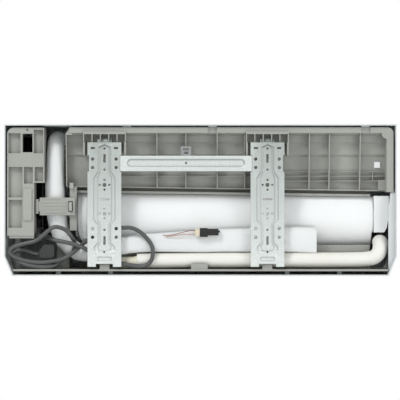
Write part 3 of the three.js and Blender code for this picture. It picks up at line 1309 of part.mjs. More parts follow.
function grilleSlots() {
  const slots = [];
  const count = Math.floor((FAN_RIGHT - FAN_LEFT) / GRILLE_PITCH);
  const centre = (FAN_RIGHT + FAN_LEFT) / 2;
  const middle = (GRILLE_REAR + GRILLE_FRONT) / 2;
  for (let i = 0; i < count; i += 1) {
    const x = centre + (i - (count - 1) / 2) * GRILLE_PITCH;
    for (const [y0, y1] of [
      [GRILLE_REAR, middle - GRILLE_RAIL / 2], [middle + GRILLE_RAIL / 2, GRILLE_FRONT]]) {
      slots.push(block(
        x - GRILLE_SLOT / 2, x + GRILLE_SLOT / 2, y0, y1, UNIT_HEIGHT - 6, UNIT_HEIGHT + 1));
    }
  }
  return join(slots);
}

function outerCasing() {
  const shell = casingShell(0, CASING_REAR).subtract(casingShell(CASING_WALL, -10));
  const front = CASING_FRONT;
  const opening = block(
    FAN_LEFT - 14, FAN_RIGHT + 12, front - 6, front + 1, OPENING_LOW, OPENING_HIGH);
  const outlet = prismX(outline([
    chinPoint(OUTLET_START, -4), chinPoint(OUTLET_START + OUTLET_LENGTH, -4),
    chinPoint(OUTLET_START + OUTLET_LENGTH, 5), chinPoint(OUTLET_START, 5),
  ]), OUTLET_LEFT + 1, OUTLET_RIGHT - 1);
  const buttonHole = rod('y', front - 5, front + 2, -352, 112, BUTTON_RADIUS + GAP, 14);
  const displayHole = block(-340, -300, front - 5, front + 2, 80, 90);
  const ears = [-1, 1].map((side) => {
    const x0 = side * EAR_X - EAR_WIDTH / 2;
    return join([
      rod('x', x0, x0 + EAR_WIDTH, PANEL_PIVOT_Y, PANEL_PIVOT_Z, EAR_RADIUS, 12),
      block(x0, x0 + EAR_WIDTH, front - 8, PANEL_PIVOT_Y, PANEL_PIVOT_Z - 14,
        PANEL_PIVOT_Z + 1),
    ]).subtract(rod(
      'x', x0 - 1, x0 + EAR_WIDTH + 1, PANEL_PIVOT_Y, PANEL_PIVOT_Z, PANEL_PIN + GAP, 10));
  });
  const topTabs = TOP_TABS.map((x) => block(
    x - CLIP_TAB / 2, x + CLIP_TAB / 2, 14, 30, CHASSIS_TOP + GAP, UNIT_HEIGHT - 1));
  const floorUnderside = RAIL_HEIGHT - CHASSIS_WALL;
  const bottomTabs = BOTTOM_TABS.map((x) => block(
    x - CLIP_TAB / 4, x + CLIP_TAB / 4, 32, 50, 1, floorUnderside - GAP));
  const inside = HALF_WIDTH - CASING_WALL / 2;
  const flange = prismY(outline([
    [HALF_WIDTH - SIDE_FLANGE, 14], [HALF_WIDTH - 11, 14], [inside, BEVEL_HEIGHT],
    [inside, FLANGE_TOP], [HALF_WIDTH - SIDE_FLANGE + 4, FLANGE_TOP],
    [HALF_WIDTH - SIDE_FLANGE, FLANGE_TOP - 40],
  ]), FLANGE_REAR, FLANGE_REAR + CASING_WALL);
  return shell.subtract(join([grilleSlots(), opening, outlet, buttonHole, displayHole]))
    .add(join([...ears, ...topTabs, ...bottomTabs, flange]));
}

// ---------- front panel ----------
function frontPanel() {
  const half = HALF_WIDTH - 1;
  const shape = new THREE.Shape();
  const front = PANEL_FRONT;
  const bow = 3;
  shape.moveTo(front - bow - PANEL_SHEET, PANEL_LOW);
  shape.lineTo(front - bow, PANEL_LOW);
  shape.quadraticCurveTo(front + bow * 0.5, (PANEL_LOW + PANEL_HIGH) / 2,
    front - bow, PANEL_HIGH);
  shape.lineTo(front - bow - PANEL_SHEET, PANEL_HIGH);
  shape.quadraticCurveTo(front + bow * 0.5 - PANEL_SHEET, (PANEL_LOW + PANEL_HIGH) / 2,
    front - bow - PANEL_SHEET, PANEL_LOW);
  const sheet = prismX(shape, -half, half, 6);
  const rimRear = CASING_FRONT + 1.5;
  const inner = front - bow - 1;
  const rims = [
    block(-half, -half + 2.5, rimRear, inner, PANEL_LOW, PANEL_HIGH - 14),
    block(half - 2.5, half, rimRear, inner, PANEL_LOW, PANEL_HIGH - 14),
    block(-half, half, rimRear, inner, PANEL_LOW, PANEL_LOW + 2.5),
  ];
  const arms = [-1, 1].map((side) => {
    const ear = EAR_X + EAR_WIDTH / 2;
    const [a, b] = [side * (ear + 0.6), side * (ear + 3.6)];
    const root = PANEL_PIN + 0.4;
    const arm = block(Math.min(a, b), Math.max(a, b), PANEL_PIVOT_Y, inner,
      PANEL_PIVOT_Z - root, PANEL_PIVOT_Z + root);
    const eye = rod('x', Math.min(a, b), Math.max(a, b), PANEL_PIVOT_Y, PANEL_PIVOT_Z,
      root, 10);
    const [c, d] = [side * (EAR_X - EAR_WIDTH / 2), side * (ear + 2)];
    const pin = rod('x', Math.min(c, d), Math.max(c, d), PANEL_PIVOT_Y, PANEL_PIVOT_Z,
      PANEL_PIN, 10);
    return join([arm, eye, pin]);
  });
  return join([sheet, ...rims, ...arms]);
}

// ---------- air filters ----------
function airFilter(x0, x1) {
  const y0 = CASING_FRONT - CASING_WALL - GAP - FILTER_THICKNESS;
  const y1 = y0 + FILTER_THICKNESS;
  const frame = block(x0, x1, y0, y1, FILTER_LOW, FILTER_HIGH);
  const windows = [];
  const columns = 3;
  const rows = 2;
  const width = (x1 - x0 - FILTER_FRAME) / columns;
  const height = (FILTER_HIGH - FILTER_LOW - FILTER_FRAME) / rows;
  for (let i = 0; i < columns; i += 1) {
    for (let j = 0; j < rows; j += 1) {
      const left = x0 + FILTER_FRAME + i * width;
      const low = FILTER_LOW + FILTER_FRAME + j * height;
      windows.push(block(left, left + width - FILTER_FRAME, y0 - 1, y0 + 0.8, low,
        low + height - FILTER_FRAME));
    }
  }
  return frame.subtract(join(windows));
}

// ---------- electrics ----------
function controlBox() {
  const rear = BLOCK_REAR + BLOCK_DEPTH + GAP;
  const outer = block(-392, -326, rear, 172, 94, 286);
  const inner = block(-390, -328, rear - 1, 170, 98, 284);
  return outer.subtract(inner);
}

function controlBoard() {
  const board = block(-389, -387.2, 78, 160, 110, 272);
  const parts = [
    block(-387.5, -370, 90, 112, 130, 150), block(-387.5, -362, 120, 146, 160, 190),
    block(-387.5, -372, 84, 100, 215, 240), block(-387.5, -378, 112, 150, 225, 255),
  ];
  const posts = [[82, 114], [156, 268]].map(([y, z]) => (
    rod('x', -389.7, -388, y, z, 2.4, 8)));
  return join([board, ...parts, ...posts]);
}

function terminalBlock() {
  const low = 98 + GAP;
  const body = block(-352, -334, 90, 150, low, low + 16);
  const slots = [];
  for (let i = 0; i < 4; i += 1) {
    slots.push(block(-353, -333, 94 + i * 14, 102 + i * 14, low + 7, low + 17));
  }
  return body.subtract(join(slots));
}

function displayBoard() {
  const y1 = CASING_FRONT - CASING_WALL - GAP;
  const board = block(-344, -296, y1 - 2, y1, 76, 94);
  const lens = block(-339.5, -300.5, y1 - 1, CASING_FRONT + 0.5, 80.5, 89.5);
  return join([board, lens]);
}

function manualButton() {
  const front = CASING_FRONT;
  const cap = rod('y', front - 10, front + BUTTON_TRAVEL + 1, -352, 112, BUTTON_RADIUS, 14);
  const collar = rod(
    'y', front - 10, front - CASING_WALL - GAP, -352, 112, BUTTON_RADIUS + 1.5, 14);
  return join([cap, collar]);
}

// ---------- assembly ----------
const group = new THREE.Group();
group.position.z = -MOUNT_HEIGHT;

function place(name, shape, material) {
  const piece = mesh(name, shape, material);
  group.add(piece);
  return piece;
}

place('wall_plate_left', wallPlate(), STEEL).position.x = PLATE_LEFT_X;
place('wall_plate_right', wallPlate(), STEEL).position.x = PLATE_RIGHT_X;
place('wall_crossbar', crossbar(), STEEL);
place('hanger_clip', hangerClip(), BRIGHT_STEEL);

place('rear_chassis', rearChassis(), GREY_PLASTIC);
place('hole_cap', holeCap(), WHITE_PLASTIC);
place('pipe_side_block', pipeSideBlock(), GREY_PLASTIC);
place('pipe_clamp', pipeClamp(), GREY_PLASTIC);
place('clamp_pin', clampPin(), BRIGHT_STEEL);
place('scroll_foam', scrollFoam(), FOAM);
place('scroll_foam_end', scrollFoamEnd(), FOAM);

place('riser_foam', riserFoam(), FOAM);
place('tail_foam', tailFoam(), FOAM);
place('gas_pipe', gasPipe(), COPPER);
place('liquid_pipe', liquidPipe(), COPPER);
place('gas_flare_nut',
  flareNut(GAS_END, GAS_TAIL_OFFSET, GAS_NUT, GAS_NUT_LENGTH), BRASS);
place('liquid_flare_nut',
  flareNut(LIQUID_END, LIQUID_TAIL_OFFSET, LIQUID_NUT, LIQUID_NUT_LENGTH), BRASS);

place('drain_hose', drainHose(), HOSE_IVORY);
place('drain_spout', drainSpout(), GREY_PLASTIC);
place('power_cord', powerCord(), CABLE_GREY);
place('cord_gland', cordGland(), BLACK_PLASTIC);
place('power_plug', powerPlug(), CABLE_GREY);
for (const index of WIRE_SPREAD.keys()) {
  place(`sensor_wire_${index + 1}`, sensorWire(index), WIRE_RED);
}
place('wire_collar', wireCollar(), BEIGE_PLASTIC);
place('wire_connector', wireConnector(), BLACK_PLASTIC);

place('fan_wheel', fanWheel(), BLACK_PLASTIC);
place('fan_shaft', fanShaft(), BRIGHT_STEEL);
place('fan_bearing', fanBearing(), BLACK_PLASTIC);
place('fan_motor', fanMotor(), BRIGHT_STEEL);
place('motor_cradle', motorCradle(), GREY_PLASTIC);
place('coil_front_lower', coilFrontLower(), ALUMINIUM);
place('coil_front_upper', coilFrontUpper(), ALUMINIUM);
place('coil_rear', coilRear(), ALUMINIUM);
place('drain_pan', drainPan(), GREY_PLASTIC);
place('outlet_duct', outletDuct(), GREY_PLASTIC);
place('louvre', louvre(), WHITE_PLASTIC);
place('louvre_motor', louvreMotor(), WHITE_PLASTIC);

const tipped = new THREE.Group();
tipped.position.set(0, VANE_PLACE[0], VANE_PLACE[1]);
tipped.rotation.x = FLOOR_TILT;
group.add(tipped);
tipped.add(mesh('vane_floor', vaneFloor(), GREY_PLASTIC));
BANK_CENTRES.forEach((centre, bank) => {
  for (let i = 0; i < VANES_PER_BANK; i += 1) {
    const number = bank * VANES_PER_BANK + i + 1;
    const piece = mesh(`air_vane_${number}`, vane(), GREY_PLASTIC);
    piece.position.x = centre + (i - (VANES_PER_BANK - 1) / 2) * VANE_PITCH;
    tipped.add(piece);
  }
  const link = mesh(`vane_link_${bank === 0 ? 'left' : 'right'}`, vaneLink(), GREY_PLASTIC);
  link.position.x = centre;
  tipped.add(link);
});

place('control_box', controlBox(), BLACK_PLASTIC);
place('control_board', controlBoard(), BOARD_GREEN);
place('terminal_block', terminalBlock(), BLACK_PLASTIC);
place('display_board', displayBoard(), BLACK_PLASTIC);
place('manual_button', manualButton(), WHITE_PLASTIC);
place('outer_casing', outerCasing(), WHITE_PLASTIC);
place('front_panel', frontPanel(), WHITE_PLASTIC);

const filterMiddle = (FAN_LEFT + FAN_RIGHT) / 2;
place('air_filter_left', airFilter(FAN_LEFT - 18, filterMiddle - 2), BLACK_PLASTIC);
place('air_filter_right', airFilter(filterMiddle + 2, FAN_RIGHT + 16), BLACK_PLASTIC);

export default group;
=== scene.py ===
"""Looks of the mini split indoor unit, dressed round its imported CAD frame.

Metres. +Z is up, +Y points from the wall into the room, +X runs to the right for someone who
looks at the wall side. Heights written as h are counted from the unit's underside.
"""
import math

import bmesh
import bpy
import numpy as np
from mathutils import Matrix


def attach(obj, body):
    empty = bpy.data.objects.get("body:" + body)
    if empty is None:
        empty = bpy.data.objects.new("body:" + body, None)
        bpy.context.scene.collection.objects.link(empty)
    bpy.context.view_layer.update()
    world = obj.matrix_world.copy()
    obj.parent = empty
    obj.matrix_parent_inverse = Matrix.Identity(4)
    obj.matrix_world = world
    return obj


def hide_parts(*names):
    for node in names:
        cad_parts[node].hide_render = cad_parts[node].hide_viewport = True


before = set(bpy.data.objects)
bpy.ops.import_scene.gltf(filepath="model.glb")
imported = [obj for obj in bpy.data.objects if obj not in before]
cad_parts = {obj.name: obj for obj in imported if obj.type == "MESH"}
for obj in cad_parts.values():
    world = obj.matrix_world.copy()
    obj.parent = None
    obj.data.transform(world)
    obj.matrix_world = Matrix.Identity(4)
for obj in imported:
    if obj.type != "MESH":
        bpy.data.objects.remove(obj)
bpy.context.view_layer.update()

MM = 0.001
UNDERSIDE = -0.218            # the unit's underside in the frame
PIXEL = 2.035                 # millimetres of the wall plane in one pixel of the photograph
PHOTO_SIDE = 400              # pixels along one side of the photograph
VIEW_DISTANCE = 3.2
VIEW_SHIFT = -0.0008          # the photograph's middle lies this far from the unit's own
VIEW_HEIGHT = UNDERSIDE + 0.1547
FLOOR_HALF = 9.0
FLOOR_LEVEL = UNDERSIDE - 0.16
ROOM_LIGHT = 0.6
WHITE = (1.0, 1.0, 1.0, 1.0)
ROOM_TINT = (0.96, 0.98, 1.0, 1.0)
PAPER = (0.9, 0.9, 0.9, 1.0)
LAMPS = {                     # place, aim, size across, watts
    "key_wall_side": ((-1.3, -1.7, 1.9), (0, 0, -0.06), 0.7, 34),
    "fill_wall_side": ((1.9, -2.0, 0.35), (0, 0, -0.06), 1.6, 15),
    "key_room_side": ((1.2, 2.6, 1.5), (0, 0.1, -0.06), 1.5, 34),
    "top": ((-0.2, 0.2, 2.4), (0, 0.05, 0), 1.4, 18),
}


def row(points):
    """Points given as x, y, h in millimetres, as an array in the frame's metres."""
    out = np.asarray(points, dtype=float) * MM
    out[..., 2] += UNDERSIDE
    return out


def new_object(name, data):
    """An object in the scene that shows this mesh, lamp or camera."""
    made = bpy.data.objects.new(name, data)
    bpy.context.collection.objects.link(made)
    return made


# ---------- camera, light and room ----------
def make_camera():
    """Straight behind the unit; lens = sensor width * distance / width of the wall seen."""
    data = bpy.data.cameras.new("view_from_wall")
    data.sensor_width = 36.0
    data.lens = data.sensor_width * VIEW_DISTANCE / (PHOTO_SIDE * PIXEL * MM)
    data.clip_end = 50.0
    camera = new_object("view_from_wall", data)
    camera.location = (VIEW_SHIFT, -VIEW_DISTANCE, VIEW_HEIGHT)
    camera.rotation_euler = (math.pi / 2, 0.0, 0.0)
    bpy.context.scene.camera = camera


def make_lamp(name, place, aim, size, power):
    """A round area lamp at its place, turned by yaw and pitch to face its aim."""
    data = bpy.data.lights.new(name, "AREA")
    data.shape = "DISK"
    data.size = size
    data.energy = power
    lamp = new_object(name, data)
    lamp.location = place
    offset = np.subtract(aim, place)
    yaw = math.atan2(offset[1], offset[0]) - math.pi / 2
    pitch = math.atan2(offset[2], math.hypot(offset[0], offset[1])) + math.pi / 2
    lamp.rotation_euler = (pitch, 0.0, yaw)


def seen_directly(tree):
    """1 for rays from the camera, from gloss and through glass, 0 for light on the object."""
    path = tree.nodes.new("ShaderNodeLightPath")
    total = path.outputs["Is Camera Ray"]
    for ray in ("Is Transmission Ray", "Is Glossy Ray"):
        either = tree.nodes.new("ShaderNodeMath")
        either.operation = "ADD"
        either.use_clamp = True
        tree.links.new(total, either.inputs[0])
        tree.links.new(path.outputs[ray], either.inputs[1])
        total = either.outputs[0]
    return total


def white_when_seen(tree, kind, lit, seen):
    """Joins the node that lights the object and the white one that is seen, by the kind of ray."""
    out = tree.nodes.new("ShaderNodeOutput" + kind)
    mix = tree.nodes.new("ShaderNodeMixShader")
    tree.links.new(seen_directly(tree), mix.inputs[0])
    tree.links.new(lit.outputs[0], mix.inputs[1])
    tree.links.new(seen.outputs[0], mix.inputs[2])
    tree.links.new(mix.outputs[0], out.inputs[0])


def make_room():
    """An even, slightly cool light on the object; the background is seen as white."""
    world = bpy.data.worlds.new("studio")
    world.use_nodes = True
    tree = world.node_tree
    tree.nodes.clear()
    light = tree.nodes.new("ShaderNodeBackground")
    light.inputs["Color"].default_value = ROOM_TINT
    light.inputs["Strength"].default_value = ROOM_LIGHT
    white = tree.nodes.new("ShaderNodeBackground")
    white.inputs["Color"].default_value = WHITE
    white_when_seen(tree, "World", light, white)
    bpy.context.scene.world = world


def make_floor():
    """A sheet of paper under the object, seen as white."""
    mesh = bpy.data.meshes.new("floor")
    corners = [(-1, -1), (1, -1), (1, 1), (-1, 1)]
    mesh.from_pydata(
        [(x * FLOOR_HALF, y * FLOOR_HALF, FLOOR_LEVEL) for x, y in corners], [], [(0, 1, 2, 3)])
    new_object("floor", mesh)
    paper = bpy.data.materials.new("floor_paper")
    paper.use_nodes = True
    tree = paper.node_tree
    tree.nodes.clear()
    matt = tree.nodes.new("ShaderNodeBsdfDiffuse")
    matt.inputs["Color"].default_value = PAPER
    glow = tree.nodes.new("ShaderNodeEmission")
    white_when_seen(tree, "Material", matt, glow)
    mesh.materials.append(paper)


make_camera()
make_room()
make_floor()
for name, (place, aim, size, power) in LAMPS.items():
    make_lamp(name, place, aim, size, power)
bpy.context.scene.view_settings.view_transform = "Standard"


# ---------- making meshes ----------
CURVE_STEPS = 24              # points of a route's curve between two of its own
WELD = 1e-6
TO_ROOM = (0.0, 1.0, 0.0)
TO_RIGHT = (1.0, 0.0, 0.0)


def new_piece(name, points, faces):
    """A smooth-shaded mesh object from an array of points and a list of faces."""
    mesh = bpy.data.meshes.new(name)
    mesh.from_pydata(points.tolist(), [], faces)
    mesh.polygons.foreach_set("use_smooth", np.full(len(mesh.polygons), True))
    mesh.update()
    return new_object(name, mesh)


def grid_faces(rows, columns, wrap=False):
    """Quads of a grid of points numbered row by row; wrap joins the last column to the first."""
    count = columns if wrap else columns - 1
    i, j = np.meshgrid(np.arange(rows - 1), np.arange(count), indexing="ij")
    k = (j + 1) % columns
    corners = np.stack([
        i * columns + j, i * columns + k, (i + 1) * columns + k, (i + 1) * columns + j], -1)
    return corners.reshape(-1, 4)


def put_uv(piece, values):
    """Gives the piece a UV map from one pair of numbers for each vertex."""
    mesh = piece.data
    layer = mesh.uv_layers.new(name="along")
    index = np.empty(len(mesh.loops), dtype=np.int64)
    mesh.loops.foreach_get("vertex_index", index)
    layer.data.foreach_set("uv", np.asarray(values, dtype=float)[index].ravel())


def run_along(line):
    """Length of the way from a line's first point to each of its points."""
    return np.concatenate([[0], np.cumsum(np.linalg.norm(np.diff(line, axis=0), axis=1))])


def smooth_route(points, spacing):
    """A centripetal Catmull-Rom curve through the points, sampled every spacing metres.

    Between two points the curve is a pyramid of linear blends of four neighbours, with knots
    spaced by the square root of the chord.
    """
    p = np.asarray(points, dtype=float)
    ends = np.vstack([2 * p[0] - p[1], p, 2 * p[-1] - p[-2]])
    knots = np.concatenate([
        [0], np.cumsum(np.sqrt(np.linalg.norm(np.diff(ends, axis=0), axis=1)))])
    dense = []
    for i in range(1, len(ends) - 2):
        t0, t1, t2, t3 = knots[i - 1:i + 3]
        t = np.linspace(t1, t2, CURVE_STEPS, endpoint=False)[:, None]
        a1 = ((t1 - t) * ends[i - 1] + (t - t0) * ends[i]) / (t1 - t0)
        a2 = ((t2 - t) * ends[i] + (t - t1) * ends[i + 1]) / (t2 - t1)
        a3 = ((t3 - t) * ends[i + 1] + (t - t2) * ends[i + 2]) / (t3 - t2)
        b1 = ((t2 - t) * a1 + (t - t0) * a2) / (t2 - t0)
        b2 = ((t3 - t) * a2 + (t - t1) * a3) / (t3 - t1)
        dense.append(((t2 - t) * b1 + (t - t1) * b2) / (t2 - t1))
    line = np.vstack(dense + [p[-1:]])
    run = run_along(line)
    count = int(round(run[-1] / spacing)) + 1
    places = np.linspace(0, run[-1], count)
    route = np.stack([np.interp(places, run, line[:, k]) for k in range(3)], -1)
    return route, places


def frames_along(route, sideways):
    """Unit side and up arrays of a route; side is sideways made square to the tangent."""
    tangent = np.gradient(route, axis=0)
    tangent /= np.linalg.norm(tangent, axis=1, keepdims=True)
    side = sideways - np.sum(sideways * tangent, 1, keepdims=True) * tangent
    side /= np.linalg.norm(side, axis=1, keepdims=True)
    return side, np.cross(tangent, side)


def turn_between(count, first, last, start, end):
    """A direction for each station, first up to start of the way and last from end on."""
    way = np.clip((np.linspace(0, 1, count) - start) / (end - start), 0, 1)[:, None]
    way = way * way * (3 - 2 * way)
    return (1 - way) * np.asarray(first, float) + way * np.asarray(last, float)


def around(sides):
    """Angles of this many even steps round a circle."""
    return np.linspace(0, 2 * np.pi, sides, endpoint=False)


def sleeve(name, route, sideways, across, depth, sides):
    """A closed tube whose section is an ellipse of half sizes across and depth at each station.

    Point = route + across * cos(a) * side + depth * sin(a) * up, for a round the section.
    across and depth are one number, or arrays of stations by sides, or of stations by one.
    """
    stations = len(route)
    side, up = frames_along(route, sideways)
    angle = around(sides)
    across = np.broadcast_to(across, (stations, sides))
    depth = np.broadcast_to(depth, (stations, sides))
    ring = (route[:, None] + (across * np.cos(angle))[..., None] * side[:, None]
            + (depth * np.sin(angle))[..., None] * up[:, None])
    faces = grid_faces(stations, sides, wrap=True)[:, ::-1].tolist()
    faces.append(list(range(sides)))
    faces.append([(stations - 1) * sides + k for k in reversed(range(sides))])
    piece = new_piece(name, ring.reshape(-1, 3), faces)
    u = np.repeat(run_along(route), sides)
    v = np.tile(angle / (2 * np.pi), stations)
    put_uv(piece, np.stack([u, v], -1))
    return piece


def outwards(piece):
    """Turns every face of a closed mesh outwards."""
    work = bmesh.new()
    work.from_mesh(piece.data)
    bmesh.ops.remove_doubles(work, verts=work.verts, dist=WELD)
    bmesh.ops.recalc_face_normals(work, faces=work.faces)
    work.to_mesh(piece.data)
    work.free()


# ---------- finishes ----------
PLATE_SHADE_HEIGHTS = (-0.19, 0.055)    # between these heights the plates are painted darker upwards: painted shade
BEVEL_SAMPLES = 3
NOISE_ROUGHNESS = 0.55


def srgb(code):
    """A colour written as on screen, in the linear numbers that the shader takes."""
    parts = np.array([int(code[i:i + 2], 16) / 255 for i in (0, 2, 4)])
    low = parts / 12.92
    high = ((parts + 0.055) / 1.055) ** 2.4
    return (*np.where(parts <= 0.04045, low, high).tolist(), 1.0)


class Finish:
    """One material under construction; every step adds nodes to its colour, gloss or relief."""

    def __init__(self, name, colour, roughness, metallic=0.0):
        self.material = bpy.data.materials.new(name)
        self.material.use_nodes = True
        self.tree = self.material.node_tree
        self.shader = self.tree.nodes["Principled BSDF"]
        self.shader.inputs["Metallic"].default_value = metallic
        self.shader.inputs["Roughness"].default_value = roughness
        self.colour = self.tree.nodes.new("ShaderNodeRGB").outputs[0]
        self.colour.default_value = srgb(colour)
        self.roughness = None
        self.relief = None

    def node(self, kind, **settings):
        made = self.tree.nodes.new("ShaderNode" + kind)
        for key, value in settings.items():
            setattr(made, key, value)
        return made

    def link(self, source, target):
        self.tree.links.new(source, target)

    def at(self, stretch=(1, 1, 1), source="Object"):
        """Coordinates stretched along the axes, from the piece's own mesh or its UV map."""
        coordinates = self.node("TexCoord")
        mapping = self.node("Mapping")
        mapping.inputs["Scale"].default_value = stretch
        self.link(coordinates.outputs[source], mapping.inputs["Vector"])
        return mapping.outputs["Vector"]

    def noise(self, scale, detail, stretch=(1, 1, 1), source="Object"):
        """Cloudy pattern, finer with scale and richer with detail."""
        made = self.node("TexNoise")
        made.inputs["Scale"].default_value = scale
        made.inputs["Detail"].default_value = detail
        made.inputs["Roughness"].default_value = NOISE_ROUGHNESS
        self.link(self.at(stretch, source), made.inputs["Vector"])
        return made.outputs["Fac"]

    def cells(self, scale, feature="F1"):
        """Distance to the middle of the nearest cell, or to its edge."""
        made = self.node("TexVoronoi", feature=feature)
        made.inputs["Scale"].default_value = scale
        self.link(self.at(), made.inputs["Vector"])
        return made.outputs["Distance"]

    def bands(self, scale, axis, source="Object", distortion=0.0):
        """Even waves across one axis, 0.314 m / scale apart."""
        made = self.node("TexWave", wave_type="BANDS", bands_direction=axis, wave_profile="SIN")
        made.inputs["Scale"].default_value = scale
        made.inputs["Distortion"].default_value = distortion
        self.link(self.at(source=source), made.inputs["Vector"])
        return made.outputs["Fac"]

    def ramp(self, value, low, high):
        """Value spread so that low gives 0 and high gives 1."""
        made = self.node("MapRange", clamp=True)
        made.inputs["From Min"].default_value = low
        made.inputs["From Max"].default_value = high
        self.link(value, made.inputs["Value"])
        return made.outputs["Result"]

    def rise(self, low, high):
        """0 below the first height of the piece's own mesh, 1 above the second."""
        parts = self.node("SeparateXYZ")
        self.link(self.at(), parts.inputs[0])
        return self.ramp(parts.outputs["Z"], low, high)

    def paint(self, mask, colour, amount=1.0):
        """Lays a second colour over the first by this amount where the mask is 1."""
        share = self.node("Math", operation="MULTIPLY")
        self.link(mask, share.inputs[0])
        share.inputs[1].default_value = amount
        mix = self.node("Mix", data_type="RGBA", blend_type="MIX")
        self.link(share.outputs[0], mix.inputs[0])
        self.link(self.colour, mix.inputs[6])
        mix.inputs[7].default_value = srgb(colour)
        self.colour = mix.outputs[2]

    def gloss(self, mask, low, high):
        """Roughness that runs from low to high with the mask."""
        made = self.node("MapRange")
        made.inputs["To Min"].default_value = low
        made.inputs["To Max"].default_value = high
        self.link(mask, made.inputs["Value"])
        self.roughness = made.outputs["Result"]

    def bump(self, height, distance, strength):
        """Fine relief, laid over the relief so far."""
        made = self.node("Bump")
        made.inputs["Distance"].default_value = distance
        made.inputs["Strength"].default_value = strength
        self.link(height, made.inputs["Height"])
        if self.relief is not None:
            self.link(self.relief, made.inputs["Normal"])
        self.relief = made.outputs["Normal"]

    def rounded(self, radius):
        """The face's normal, turned on its edges as if they were rounded by this radius."""
        made = self.node("Bevel", samples=BEVEL_SAMPLES)
        made.inputs["Radius"].default_value = radius
        return made.outputs["Normal"]

    def soft_edges(self, radius):
        """Rounds the look of sharp moulded edges by this radius."""
        self.relief = self.rounded(radius)

    def edge_mask(self, radius):
        """1 on outer and inner edges, where the rounded normal turns from the face's own."""
        dot = self.node("VectorMath", operation="DOT_PRODUCT")
        self.link(self.rounded(radius), dot.inputs[0])
        self.link(self.node("NewGeometry").outputs["Normal"], dot.inputs[1])
        return self.ramp(dot.outputs["Value"], 0.98, 0.8)

    def flank_shade_mask(self):
        """1 where a pressed sheet's face turns away from the wall plane, 0 where it is flat: mask
        of painted shade.
        """
        parts = self.node("SeparateXYZ")
        self.link(self.node("TexCoord").outputs["Normal"], parts.inputs[0])
        turn = self.node("Math", operation="ABSOLUTE")
        self.link(parts.outputs["Y"], turn.inputs[0])
        return self.ramp(turn.outputs[0], 0.97, 0.8)

    def corner_shade_mask(self, distance, samples=4, first=0.75, full=0.15):
        """1 in deep corners, 0 in the open; walls count up to this distance. Mask of painted
        shade.
        """
        made = self.node("AmbientOcclusion", samples=samples)
        made.inputs["Distance"].default_value = distance
        return self.ramp(made.outputs["AO"], first, full)

    def done(self, **sockets):
        """Joins colour, roughness and relief to the shader, and sets its other sockets."""
        self.link(self.colour, self.shader.inputs["Base Color"])
        self.link(self.roughness, self.shader.inputs["Roughness"])
        self.link(self.relief, self.shader.inputs["Normal"])
        for key, value in sockets.items():
            self.shader.inputs[key.replace("_", " ")].default_value = value
        return self.material


def grey_moulding(name, colour):
    """Grey plastic: cloudy tone, a painted highlight on its edges, painted shade in its corners
    and a fine grain.
    """
    f = Finish(name, colour, 0.5)
    f.soft_edges(0.0009)
    f.paint(f.ramp(f.noise(9, 4), 0.35, 0.7), "94958F", 0.45)
    f.paint(f.ramp(f.noise(5, 3, (0.25, 1, 3)), 0.5, 0.75), "ABACA6", 0.4)
    # painted highlight: paler edges
    f.paint(f.edge_mask(0.0011), "CDCEC8", 0.45)
    # painted shade in corners and recesses
    f.paint(f.corner_shade_mask(0.02), "5A5C58", 0.32)
    f.gloss(f.noise(60, 3), 0.42, 0.58)
    f.bump(f.noise(1500, 2), 0.00004, 0.6)
    f.bump(f.noise(24, 2), 0.0006, 0.12)
    return f.done(Specular_IOR_Level=0.4)


def white_moulding(name, colour, low=0.3, high=0.42, edge=None):
    """Pale glossy plastic with painted shade in its corners; a second colour is painted on its
    edges as painted shade.
    """
    f = Finish(name, colour, low)
    f.soft_edges(0.0008)
    f.paint(f.ramp(f.noise(7, 3), 0.4, 0.75), "E6E9EA", 0.35)
    # painted shade in corners and recesses
    f.paint(f.corner_shade_mask(0.015), "A9AEB0", 0.25)
    if edge:
        # painted shade on the edges, in the second colour
        f.paint(f.edge_mask(0.0012), edge, 0.6)
    f.gloss(f.noise(40, 3), low, high)
    f.bump(f.noise(1900, 2), 0.00002, 0.5)
    return f.done(Coat_Weight=0.08, Coat_Roughness=0.2)


def black_moulding(name, colour, low, high):
    """Black plastic or rubber, a little paler on its edges from a painted highlight."""
    f = Finish(name, colour, low)
    f.soft_edges(0.0005)
    f.paint(f.ramp(f.noise(30, 3), 0.45, 0.75), "2E2F31", 0.4)
    # painted highlight: paler edges
    f.paint(f.edge_mask(0.0006), "56585A", 0.2)
    f.gloss(f.noise(120, 3), low, high)
    f.bump(f.noise(2200, 2), 0.00003, 0.6)
    return f.done()


def galvanised(name, colour, head=None):
    """Zinc-coated sheet: pale grey-green, faint spangle and rolling marks, with a painted
    highlight on its edges and painted shade in its creases and on its pressed flanks.

    With a second colour it is painted darker towards the head of the plates, as painted shade.
    """
    f = Finish(name, colour, 0.34, 0.3)
    if head:
        # painted shade: the plates darker towards their head
        f.paint(f.rise(*PLATE_SHADE_HEIGHTS), head)
    f.paint(f.ramp(f.cells(230), 0.1, 0.55), "B3BAB6", 0.35)
    f.paint(f.ramp(f.noise(420, 3), 0.45, 0.7), "CBD2CE", 0.3)
    f.paint(f.ramp(f.noise(16, 4, (1, 1, 0.3)), 0.5, 0.75), "D6DCD9", 0.5)
    # painted highlight on the edges
    f.paint(f.edge_mask(0.0006), "F4F7F5", 0.5)
    # painted shade in the creases
    f.paint(f.corner_shade_mask(0.0035, 8, 0.97, 0.72), "4A504D", 0.75)
    # painted shade on the pressed flanks
    f.paint(f.flank_shade_mask(), "7C8480", 0.6)
    f.gloss(f.noise(300, 3, (1, 1, 0.15)), 0.3, 0.46)
    f.bump(f.noise(700, 2, (1, 1, 0.1)), 0.00002, 0.4)
    return f.done()


def bright_metal(name, colour, roughness=0.22, grain=(1, 1, 0.08)):
    """Bare metal with dull clouds and polishing marks that run along the grain."""
    f = Finish(name, colour, roughness, 1.0)
    f.soft_edges(0.0004)
    f.paint(f.ramp(f.noise(90, 4), 0.5, 0.8), "6E7072", 0.35)
    f.gloss(f.noise(260, 3, grain), roughness - 0.06, roughness + 0.14)
    f.bump(f.noise(900, 2, grain), 0.00002, 0.5)
    return f.done()


